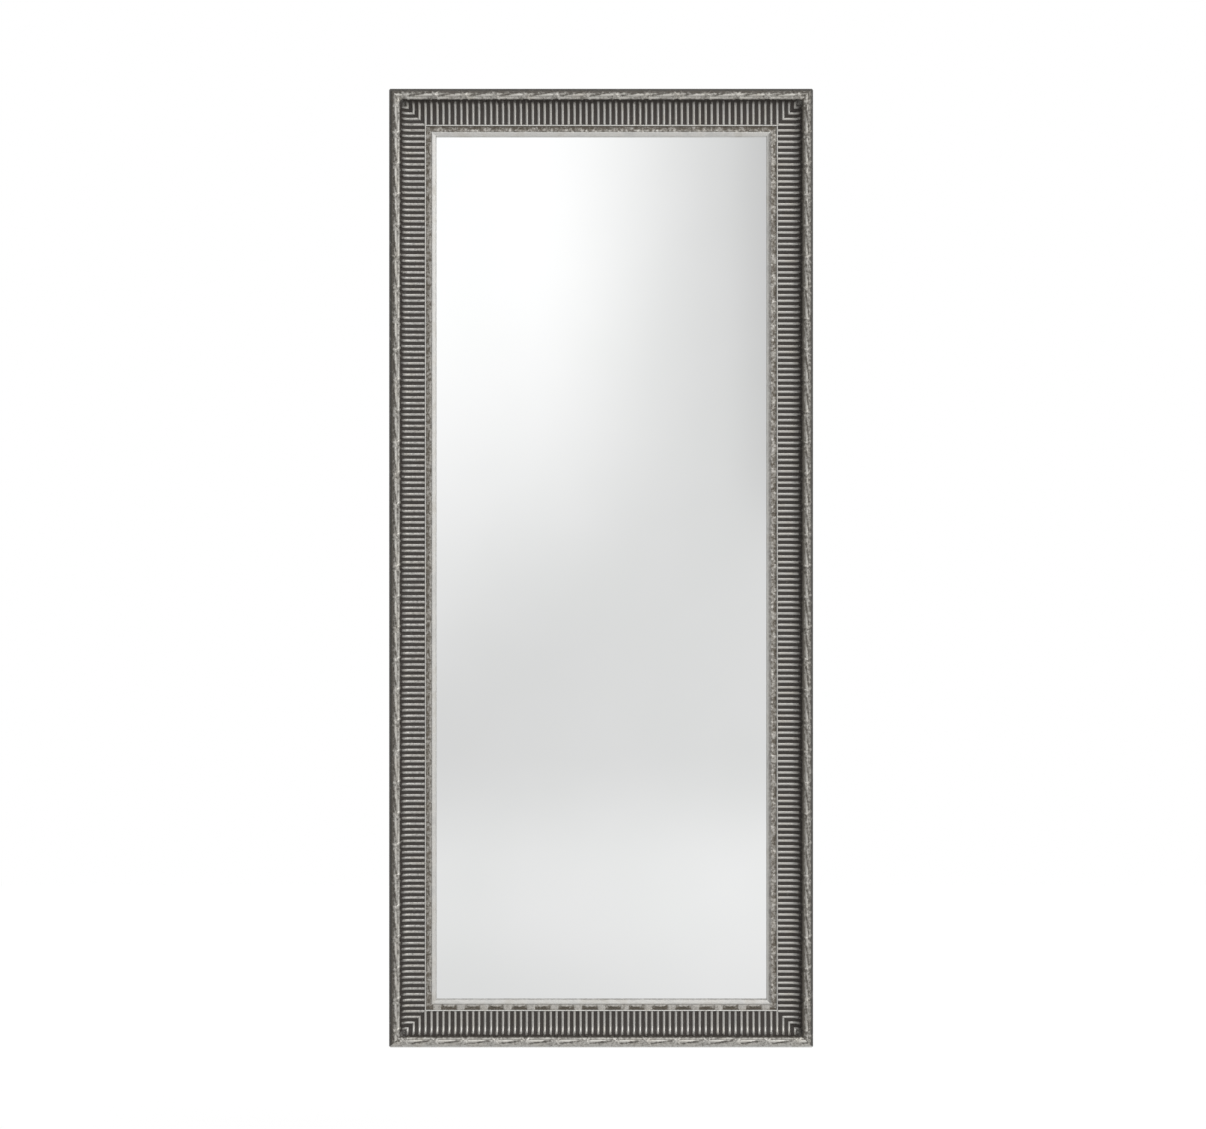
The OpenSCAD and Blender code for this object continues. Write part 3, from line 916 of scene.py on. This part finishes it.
def leaf_template(name, length, reach, rise, taper):
    """A leaf or tongue with its root at the lip."""
    bm = bmesh.new()
    bmesh.ops.create_grid(bm, x_segments=LEAF_ALONG, y_segments=LEAF_ACROSS, size=1)
    for vert in bm.verts:
        a, b = vert.co.x, (vert.co.y + 1) / 2
        s = a * length / 2 * (1 - taper * b ** 3)
        u = LEAVES_END + LEAF_TUCK - b * reach * (1 - taper * abs(a) ** 3)
        vert.co = (s, u, strip_height(u) + rise(a, b))
    close_ends(bm)
    return to_mesh(bm, name)


def leaf_patina_and_shade(side, places):
    """Brown ground, leaves that darken at their ends and outwards, and dull tongues between them, with
    painted shade on some sides.
    """
    step = places[1] - places[0]

    def rule(along, u, v):
        beside = abs(((along - places[0]) / step + 0.5) % 1 - 0.5) * step
        crest = ease(v - strip_height(u), 0.0, LEAF_CREST_H)
        inner = (u - LEAVES_START) / (LEAVES_END - LEAVES_START)
        ground = blend(GROUND_OUTER, GROUND_INNER, inner)
        end = LEAF_END_PATINA * ease(beside, LEAF_L * 0.3, LEAF_L * 0.5)
        # Tongues keep patina and painted shade, heavier on some sides
        if beside > LEAF_L / 2 + LEAF_GAP / 2:
            kept = blend(ground, TONGUE_PATINA_AND_SHADE[side] - 0.2 * inner, crest)
        else:
            kept = blend(ground + 0.1, 0.95 * (1 - ease(inner, 0.4, 0.95)) + end, crest)
        # No leaf is lighter than its side's patina and painted shade, nor darker than the deepest patina
        return min(DEEP_PATINA[side], max(LEAF_PATINA_AND_SHADE[side], kept))
    return rule


def add_leaves(side):
    """A leaf run: a climbing strip with leaves and a tongue in each space."""
    length = side_length(side)
    bm = bmesh.new()
    section = (
        (LEAVES_START, CHANNEL_H),
        (LEAVES_END, CHANNEL_H),
        (LEAVES_END, LIP_H - STRIP_DROP),
        (LEAVES_START, STRIP_EDGE_H),
    )
    extrude_section(bm, section, length)
    close_ends(bm)
    places = spaced(length - LEAF_PITCH, LEAF_PITCH)
    step = places[1] - places[0]
    leaf = leaf_template("leaf", LEAF_L, LEAF_REACH, leaf_rise, LEAF_TAPER)
    tongue_l = step - LEAF_L - 2 * LEAF_GAP
    tongue = leaf_template("tongue", tongue_l, TONGUE_REACH, tongue_rise, TONGUE_TAPER)
    runs = [(leaf, places), (tongue, [place + step / 2 for place in places[:-1]])]
    for template, spots in runs:
        for place in spots:
            stamp(bm, template, place)
    add_run(side, bm, 45, leaf_patina_and_shade(side, places), LEAF_SILVER, "leaf_run", "leaves")


# Glass and board
def slab(node, edge_w, segments):
    """A sheet the size of its node, with its edges broken all round."""
    low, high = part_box(node)
    bm = bmesh.new()
    bmesh.ops.create_cube(bm, size=1)
    bmesh.ops.scale(bm, vec=high - low, verts=bm.verts)
    bmesh.ops.translate(bm, vec=(low + high) / 2, verts=bm.verts)
    break_edges(bm, bm.edges[:], edge_w, segments)
    return bm


def add_glass():
    """The mirror, a sheet with a ground arris."""
    bm = slab("mirror_glass", 0.5 * MM, 1)
    shade(bm, 20)
    add_piece("mirror", bm, (mirror_silver(),), ("mirror_glass",))


PRESS_PITCH = 1.9635 * MM
PRESS_TURNS = 2 * math.pi / PRESS_PITCH
ZINC_DULLED = 0.72


def hardboard():
    """Brown hardboard with the mesh of its press on the back."""
    material, tree, shader = start_material("hardboard", Specular_IOR_Level=0.3)
    point = object_point(tree)
    parts = put(tree, "SeparateXYZ", {"Vector": point}).outputs
    waves = []
    for label in "XZ":
        turned = calculate(tree, "MULTIPLY", parts[label], PRESS_TURNS)
        waves.append(calculate(tree, "SINE", turned))
    press = calculate(tree, "MULTIPLY", *waves)
    fibre = noise(tree, stretched(tree, point, (700, 700, 500)), 1.0, 5, 0.7)
    stain = ramp(tree, noise(tree, point, 9, 4), 0.4, 0.7, 0, 0.4)
    brown = mix_colours(tree, ramp(tree, fibre, 0.35, 0.7), *BOARD_BROWNS)
    plug(tree, shader.inputs["Base Color"], mix_colours(tree, stain, brown, BOARD_STAIN))
    plug(tree, shader.inputs["Roughness"], ramp(tree, fibre, 0.2, 0.8, 0.6, 0.85))
    bump(tree, shader, calculate(tree, "ADD", calculate(tree, "MULTIPLY", press, 0.3), fibre), 0.5, 0.2 * MM)
    return material


def zinc_plate(name, colour):
    """Thin plating over steel: spangled, lightly brushed and scratched."""
    material, tree, shader = start_material(name, Metallic=1.0)
    point = object_point(tree)
    cloud = noise(tree, point, 260, 4, 0.6)
    brushed = noise(tree, stretched(tree, point, (3000, 3000, 260)), 1.0, 2)
    dull = tuple(part * ZINC_DULLED for part in colour)
    spangle = ramp(tree, cloud, 0.35, 0.7)
    plug(tree, shader.inputs["Base Color"], mix_colours(tree, spangle, (*colour, 1), (*dull, 1)))
    plug(tree, shader.inputs["Roughness"], ramp(tree, cloud, 0.3, 0.7, 0.24, 0.42))
    bump(tree, shader, brushed, 0.15, 0.05 * MM)
    return material


def rubber(name, colour):
    """Moulded rubber with fine pits and a little dust."""
    material, tree, shader = start_material(name, Specular_IOR_Level=0.35)
    point = object_point(tree)
    pits = noise(tree, point, 2600, 3, 0.6)
    dust = ramp(tree, noise(tree, point, 120, 4), 0.5, 0.8, 0.0, 0.3)
    plug(tree, shader.inputs["Base Color"], mix_colours(tree, dust, (*colour, 1), DUST))
    plug(tree, shader.inputs["Roughness"], ramp(tree, pits, 0.3, 0.7, 0.62, 0.8))
    bump(tree, shader, pits, 0.3, 0.1 * MM)
    return material


def dress(node, material):
    """Gives a CAD node that keeps its own shape its finish."""
    slots = bpy.data.objects[node].material_slots
    for slot in slots:
        slot.material = material


def add_board():
    """The backing board, its edges slightly rubbed."""
    bm = slab("backing_board", 0.4 * MM, 2)
    shade(bm, 30)
    add_piece("hardboard_back", bm, (BACK_BOARD,), ("backing_board",))


# Nails across the mitres
NAIL_COUNT = 3
NAIL_SPREAD = math.radians(50)
NAIL_WING, NAIL_T, NAIL_H = 7 * MM, 0.6 * MM, 12 * MM
NAIL_PROUD = 0.15 * MM

# Hangers: y runs out of the back of the frame
STRAP_T = 1.2 * MM
STRAP_W = 14 * MM
STRAP_ROUND, EYE_CHAMFER = 0.2 * MM, 0.15 * MM
EYE_ROLL = math.radians(285)
WIRE_R = 1.5 * MM
RING_BEND = 3.5 * MM
SCREW_DROPS = (20 * MM, 40 * MM)
SCREW_HOLE_R = 1.9 * MM
SCREW_R = 1.7 * MM
SCREW_L = 14 * MM
HEAD_R = 3.5 * MM


def eye_place(side):
    """Where the middle of a hanger's eye is."""
    low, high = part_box(side + "_hanger_strap")
    radius = (high.y - low.y) / 2
    return Vector(((low.x + high.x) / 2, radius, high.z - radius))


def circle(bm, radius, place, axis, steps=24):
    """A ring of edges round a place, turned a quarter about an axis."""
    known = len(bm.edges)
    turn = Matrix.Translation(place) @ Matrix.Rotation(math.pi / 2, 4, axis)
    bmesh.ops.create_circle(bm, segments=steps, radius=radius, matrix=turn)
    return bm.edges[:][known:]


def add_strap(side):
    """A drilled strap, and its end rolled round into an eye."""
    eye = eye_place(side)
    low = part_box(side + "_hanger_strap")[0]
    half = STRAP_W / 2
    bm = bmesh.new()
    foot = arc((eye.x, low.z + half), half, 180, 360, 16)
    outline = [(x, 0, z) for x, z in foot] + [(eye.x + half, 0, eye.z), (eye.x - half, 0, eye.z)]
    rims = ring(bm, outline)
    for drop in SCREW_DROPS:
        rims += circle(bm, SCREW_HOLE_R, (eye.x, 0, eye.z - drop), "X")
    bmesh.ops.triangle_fill(bm, use_beauty=True, edges=rims)
    bmesh.ops.dissolve_limit(bm, angle_limit=0.01, verts=bm.verts, edges=bm.edges)
    raised = bmesh.ops.extrude_face_region(bm, geom=bm.faces[:])["geom"]
    bmesh.ops.translate(bm, verts=only(raised, bmesh.types.BMVert), vec=(0, STRAP_T, 0))
    bmesh.ops.recalc_face_normals(bm, faces=bm.faces)
    sharp = [edge for edge in bm.edges if edge.calc_face_angle(0) > 1 and edge.verts[0].co.z < eye.z - MM]
    break_edges(bm, sharp, STRAP_ROUND, 2)
    left, right, cut = eye.x - half, eye.x + half, EYE_CHAMFER
    section = (
        (left, cut), (left, STRAP_T - cut), (left + cut, STRAP_T), (right - cut, STRAP_T),
        (right, STRAP_T - cut), (right, cut), (right - cut, 0), (left + cut, 0),
    )
    start = ring(bm, [(x, y, eye.z) for x, y in section])
    spin_on(bm, start, eye, (-1, 0, 0), EYE_ROLL, 30)
    close_ends(bm)
    shade(bm, 35)
    add_piece(side + "_strap", bm, (STRAP_ZINC,), (side + "_hanger_strap",))


def add_ring(side):
    """A bent wire ring: bar, bend, leg, bow, leg and bend, back to the bar."""
    node = side + "_hanger_ring"
    eye = eye_place(side)
    low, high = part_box(node)
    bow_r = (high.x - low.x) / 2 - WIRE_R
    bar = bow_r - RING_BEND
    leg = high.z - WIRE_R - bow_r - RING_BEND - eye.z
    bm = bmesh.new()
    facing = (0, -1, 0)
    edges = circle(bm, WIRE_R, eye - Vector((bar, 0, 0)), "Y", 14)
    edges = push_on(bm, edges, (2 * bar, 0, 0))[0]
    edges = spin_on(bm, edges, eye + Vector((bar, 0, RING_BEND)), facing, math.pi / 2, 8)
    edges = push_on(bm, edges, (0, 0, leg))[0]
    edges = spin_on(bm, edges, eye + Vector((0, 0, RING_BEND + leg)), facing, math.pi, 24)
    edges = push_on(bm, edges, (0, 0, -leg))[0]
    spin_on(bm, edges, eye + Vector((-bar, 0, RING_BEND)), facing, math.pi / 2, 8)
    bmesh.ops.remove_doubles(bm, verts=bm.verts, dist=0.02 * MM)
    shade(bm, 60)
    add_piece(side + "_ring", bm, (RING_ZINC,), (node,), side + "_ring")


# Radius and height of a pan head, in millimetres from its rim to its flat top
HEAD_CURVE = ((3.5, 0.45), (3.3, 0.95), (2.95, 1.45), (2.5, 1.82), (2.15, 1.97))
CROSS_HALF, CROSS_REACH, CROSS_DEPTH = 0.45 * MM, 1.7 * MM, 1.0 * MM
QUARTERS = [Matrix.Rotation(-turn * math.pi / 2, 3, "Y") for turn in range(4)]
POINT_L, POINT_SHARE = 2 * SCREW_R, 0.12


def add_screw(bm, place):
    """A pan-head screw with a cross recess, its shank ending in a point."""
    edges = circle(bm, HEAD_R, place, "X")
    rim, level = HEAD_R, 0
    for radius, rise in HEAD_CURVE:
        edges, corners = push_on(bm, edges, (0, rise * MM - level, 0))
        share = radius * MM / rim
        bmesh.ops.scale(bm, vec=(share, 1, share), space=Matrix.Translation(-place), verts=corners)
        rim, level = radius * MM, rise * MM
    arm = ((CROSS_REACH, -CROSS_HALF), (CROSS_REACH, CROSS_HALF), (CROSS_HALF, CROSS_HALF))
    cross = [quarter @ Vector((x, level, z)) for quarter in QUARTERS for x, z in arm]
    mouth = ring(bm, [place + corner for corner in cross])
    bmesh.ops.triangle_fill(bm, use_beauty=True, edges=edges + mouth)
    floor_edges = push_on(bm, mouth, (0, -CROSS_DEPTH, 0))[0]
    bmesh.ops.holes_fill(bm, edges=floor_edges, sides=0)


def add_screws():
    """The four hanger screws."""
    bm = bmesh.new()
    for side in ("left", "right"):
        eye = eye_place(side)
        for drop in SCREW_DROPS:
            place = Vector((eye.x, STRAP_T, eye.z - drop))
            add_screw(bm, place)
            close_ends(bm)
            shank = circle(bm, SCREW_R, place, "X", 16)
            shank = push_on(bm, shank, (0, POINT_L - SCREW_L, 0))[0]
            corners = push_on(bm, shank, (0, -POINT_L, 0))[1]
            narrow = (POINT_SHARE, 1, POINT_SHARE)
            bmesh.ops.scale(bm, vec=narrow, space=Matrix.Translation(-place), verts=corners)
            close_ends(bm)
    shade(bm, 35)
    add_piece("strap_screws", bm, (SCREW_YELLOW,), ("hanger_screws",))


def nail_outline(inward):
    """A V-shaped nail seen end on, open towards the inside of the frame."""
    ahead = Matrix.Rotation(-inward, 3, "Y")
    outer = (NAIL_T / 2) / math.sin(NAIL_SPREAD)
    turned = [Matrix.Rotation(-way * NAIL_SPREAD, 3, "Y") for way in (-1, 1)]
    tip = [Vector((NAIL_WING, 0, way * NAIL_T / 2)) for way in (-1, 1)]
    lower, upper = [[turn @ corner for corner in tip] for turn in turned]
    loop = [Vector((-outer, 0, 0)), *lower, Vector((outer, 0, 0)), *upper]
    return [ahead @ place for place in loop]


def add_nails():
    """The V-shaped nails across the mitres, driven in from the back until just proud of it."""
    bm = bmesh.new()
    for x, z in ((-1, -1), (-1, 1), (1, 1), (1, -1)):
        inward = math.atan2(-z, -x)
        outline = nail_outline(inward)
        for i in range(NAIL_COUNT):
            along = REBATE_U * (i + 0.5) / NAIL_COUNT
            root = CENTRE + Vector((x * (FRAME_W / 2 - along), NAIL_PROUD, z * (FRAME_H / 2 - along)))
            edges = ring(bm, [root + place for place in outline])
            push_on(bm, edges, (0, -NAIL_H - NAIL_PROUD, 0))
    close_ends(bm)
    shade(bm, 30)
    add_piece("mitre_nails", bm, (SPRING_STEEL,), ("corner_v_nails",))


def add_bumpers():
    """Round rubber pads near the corners, each with a rounded edge and a shallow dish."""
    low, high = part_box("wall_bumpers")
    tall = high.y - low.y
    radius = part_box("left_hanger_strap")[0].x + STRAP_W / 2 - low.x
    edge_r = 2 * MM
    dish = 0.5 * MM
    curve = [(0, tall - dish), (radius * 0.45, tall - dish * 0.7)]
    curve += arc((radius - edge_r, tall - edge_r), edge_r, 90, 0, 6)
    curve += [(radius, 0), (0, 0)]
    bm = bmesh.new()
    for x in (low.x + radius, high.x - radius):
        for z in (low.z + radius, high.z - radius):
            corners = [bm.verts.new((x + u, v, z)) for u, v in curve]
            profile = [bm.edges.new(pair) for pair in zip(corners, corners[1:])]
            spin_on(bm, profile, (x, 0, z), (0, 1, 0), 2 * math.pi, 40)
    bmesh.ops.remove_doubles(bm, verts=bm.verts, dist=0.005 * MM)
    shade(bm, 40)
    add_piece("rubber_bumpers", bm, (BUMPER_RUBBER,), ("wall_bumpers",))


BACK_BOARD = hardboard()
STRAP_ZINC = zinc_plate("zinc plated strap", (0.66, 0.67, 0.68))
RING_ZINC = zinc_plate("zinc plated wire", (0.70, 0.705, 0.71))
SCREW_YELLOW = zinc_plate("yellow passivated screw", (0.72, 0.58, 0.33))
SPRING_STEEL = zinc_plate("blued spring steel", (0.30, 0.31, 0.34))
BUMPER_RUBBER = rubber("bumper rubber", (0.035, 0.034, 0.033))
BLOCK_RUBBER = rubber("setting block rubber", (0.055, 0.055, 0.055))

for side in SIDES:
    add_timber(side)
    add_reeds(side)
TIE = tie_template()
for side in SIDES:
    add_ribbon(side, TIE)
for side in SIDES:
    add_leaves(side)
add_glass()
add_board()
for side in ("left", "right"):
    add_strap(side)
    add_ring(side)
add_screws()
add_nails()
add_bumpers()
dress("setting_blocks", BLOCK_RUBBER)
dress("framers_points", SPRING_STEEL)


# Studio
SENSOR_W = 36
CAMERA_DISTANCE = 5.5
CAMERA_RISE = 0.03
CAMERA_ASIDE = 0.12
IMAGE_W, IMAGE_H = 1206, 1129
MIDDLE_X, MIDDLE_Y = 601.1, 568.05
MIRROR_W_PX = 424.0
METRES_PER_PX = FRAME_W / MIRROR_W_PX
FLOOR_DROP = 0.35
FLOOR_SIZE = 6.0
FLOOR_COLOUR = (0.86, 0.86, 0.86, 1)
FLOOR_GLOW, GLOW_SHARE = 1.09, 0.8
# Place, size and power of each lamp
LAMPS = {"key": ((2.0, -2.9, 0.5), 1.6, 45), "fill": ((-2.6, -2.6, -0.2), 2.0, 12)}


def add_camera():
    """A level camera in front, a little to the right, framed as the photograph is."""
    lens = bpy.data.cameras.new("camera")
    camera = new_object("camera", lens)
    view_w = IMAGE_W * METRES_PER_PX
    lens.sensor_width = SENSOR_W
    lens.lens = SENSOR_W * CAMERA_DISTANCE / view_w
    lens.shift_x = ((IMAGE_W / 2 - MIDDLE_X) * METRES_PER_PX - CAMERA_ASIDE) / view_w
    lens.shift_y = ((MIDDLE_Y - IMAGE_H / 2) * METRES_PER_PX - CAMERA_RISE) / view_w
    camera.location = (CAMERA_ASIDE, -LEDGE_H - CAMERA_DISTANCE, CENTRE.z + CAMERA_RISE)
    camera.rotation_euler = (math.pi / 2, 0, 0)
    bpy.context.scene.camera = camera


def in_mirror_x(place):
    """The sideways part of the direction that the mirror shows at this distance from its middle."""
    return (place - CAMERA_ASIDE) / CAMERA_DISTANCE


def in_mirror_z(place):
    """The upward part of the direction that the mirror shows at this height over its middle."""
    return (place - CAMERA_RISE) / CAMERA_DISTANCE


def mirror_ramp(tree, value, turned, places, low=0.0, high=1.0):
    """A value that changes smoothly between two places on the mirror."""
    return ramp(tree, value, turned(places[0]), turned(places[1]), low, high)


# What the mirror shows: places in metres from its middle, sideways or up, and brightness there
WALL_SIDES, WALL_TONES = (-0.25, 0.25), (0.72, 0.757)
WINDOW_SIDES, WINDOW_HEIGHTS, WINDOW_TONES = (-0.13, 0.3), (-0.31, 0.45), (0.34, -0.07)
# The window's light climbs towards the right from this place
WINDOW_FOOT, WINDOW_LEAN = -0.28, 0.46
EDGE_SIDES, EDGE_HEIGHTS, EDGE_TONE = (0.2, 0.3), (0.0, 0.2), -0.08
GROUND_HEIGHTS, GROUND_TONES = (-0.30, -0.52), (0.10, 0.13)
NEAR_HEIGHTS, NEAR_TONE = (-0.55, -0.75), -0.06
CLOUD_SIZE, CLOUD_TONE = 12, 0.05


def mirror_view(tree, way, x, z):
    """What the mirror shows: a grey wall, bright at the upper left, with a paler ground and soft clouds."""
    from_foot = calculate(tree, "SUBTRACT", x, in_mirror_x(WINDOW_FOOT))
    climb = calculate(tree, "MULTIPLY", from_foot, WINDOW_LEAN)
    high = mirror_ramp(tree, calculate(tree, "SUBTRACT", z, climb), in_mirror_z, WINDOW_HEIGHTS)
    left = mirror_ramp(tree, x, in_mirror_x, WINDOW_SIDES, *WINDOW_TONES)
    window = calculate(tree, "MULTIPLY", high, left)
    beside = mirror_ramp(tree, x, in_mirror_x, EDGE_SIDES, 0.0, EDGE_TONE)
    edge = calculate(tree, "MULTIPLY", beside, mirror_ramp(tree, z, in_mirror_z, EDGE_HEIGHTS))
    wall = mirror_ramp(tree, x, in_mirror_x, WALL_SIDES, *WALL_TONES)
    below = mirror_ramp(tree, z, in_mirror_z, GROUND_HEIGHTS)
    pale = mirror_ramp(tree, x, in_mirror_x, WALL_SIDES, *GROUND_TONES)
    ground = calculate(tree, "MULTIPLY", below, pale)
    near = mirror_ramp(tree, z, in_mirror_z, NEAR_HEIGHTS, 0.0, NEAR_TONE)
    billow = calculate(tree, "SUBTRACT", noise(tree, way, CLOUD_SIZE, 3), 0.5)
    cloud = calculate(tree, "MULTIPLY", billow, CLOUD_TONE)
    front = wall
    for part in (window, edge, ground, near, cloud):
        front = calculate(tree, "ADD", front, part)
    return front


# What only the moulding shows: ranges of direction, and brightness there
TOWARD_KEY = Vector((0.35, -0.70, 0.62)).normalized()
KEY_SPREAD, KEY_TONE = (0.68, 0.98), 1.4
LOW_RANGE, LOW_TONE = (-0.1, -0.5), 0.14
ROOM_RANGE, ROOM_TONES, ROOM_UNEVEN = (-0.6, 0.6), (0.33, 0.59), 0.14
# Directions past which the mirror shows nothing to the camera
LEFT_RANGE, RIGHT_RANGE, HIGH_RANGE = (-0.10, -0.28), (0.06, 0.32), (0.28, 0.6)


def room_view(tree, way, x, z):
    """What only the moulding shows: a lit place up and to the right, a pale floor and an uneven room."""
    facing = put(tree, "VectorMath", {0: way, 1: TOWARD_KEY}, operation="DOT_PRODUCT")
    glow = ramp(tree, facing.outputs["Value"], *KEY_SPREAD, 0.0, KEY_TONE)
    low = ramp(tree, z, *LOW_RANGE, 0.0, LOW_TONE)
    uneven = ramp(tree, noise(tree, way, 2.0, 2), 0.3, 0.7, 0, ROOM_UNEVEN)
    room = calculate(tree, "ADD", ramp(tree, x, *ROOM_RANGE, *ROOM_TONES), uneven)
    return calculate(tree, "ADD", calculate(tree, "ADD", glow, low), room)


def sky():
    """Pale studio surroundings: white to the camera, soft cloudy greys to the mirror and the silver."""
    world = bpy.data.worlds.new("studio")
    bpy.context.scene.world = world
    tree = empty_tree(world)
    way = put(tree, "TexCoord").outputs["Generated"]
    parts = put(tree, "SeparateXYZ", {"Vector": way}).outputs
    x, z = parts["X"], parts["Z"]
    front = mirror_view(tree, way, x, z)
    aside = calculate(tree, "MAXIMUM", ramp(tree, x, *LEFT_RANGE), ramp(tree, x, *RIGHT_RANGE))
    aloft = ramp(tree, calculate(tree, "ABSOLUTE", z), *HIGH_RANGE)
    away = calculate(tree, "MAXIMUM", aside, aloft)
    light = mix_values(tree, away, front, room_view(tree, way, x, z))
    seen = put(tree, "LightPath").outputs["Is Camera Ray"]
    strength = mix_values(tree, seen, light, 1.0)
    back = put(tree, "Background", {"Color": (1, 1, 1, 1), "Strength": strength})
    put(tree, "OutputWorld", {"Surface": back.outputs["Background"]})


def add_lamp(name, place, size, watts):
    """A square soft light that points at the middle of the mirror."""
    lamp = bpy.data.lights.new(name, "AREA")
    lamp.size = size
    lamp.energy = watts
    holder = new_object(name, lamp)
    holder.location = place
    holder.rotation_mode = "QUATERNION"
    holder.rotation_quaternion = (CENTRE - Vector(place)).to_track_quat("-Z", "Y")
    holder.visible_glossy = False


def add_floor():
    """A plain pale floor under the hanging mirror, white to the camera and keeping its shadow."""
    bm = bmesh.new()
    bmesh.ops.create_grid(bm, x_segments=1, y_segments=1, size=FLOOR_SIZE)
    bmesh.ops.translate(bm, verts=bm.verts, vec=(0, 0, LOWEST.z - FLOOR_DROP))
    floor = new_object("floor", to_mesh(bm, "floor"))
    material = bpy.data.materials.new("pale floor")
    tree = empty_tree(material)
    matt = put(tree, "BsdfDiffuse", {"Color": FLOOR_COLOUR})
    glow = put(tree, "Emission", {"Color": (1, 1, 1, 1), "Strength": FLOOR_GLOW})
    seen = put(tree, "LightPath").outputs["Is Camera Ray"]
    share = calculate(tree, "MULTIPLY", seen, GLOW_SHARE)
    mixed = put(tree, "MixShader", {0: share, 1: matt.outputs["BSDF"], 2: glow.outputs["Emission"]})
    put(tree, "OutputMaterial", {"Surface": mixed.outputs["Shader"]})
    floor.data.materials.append(material)
    floor.visible_glossy = False


sky()
for name, lamp in LAMPS.items():
    add_lamp(name, *lamp)
add_floor()
add_camera()
bpy.context.scene.view_settings.view_transform = "Standard"
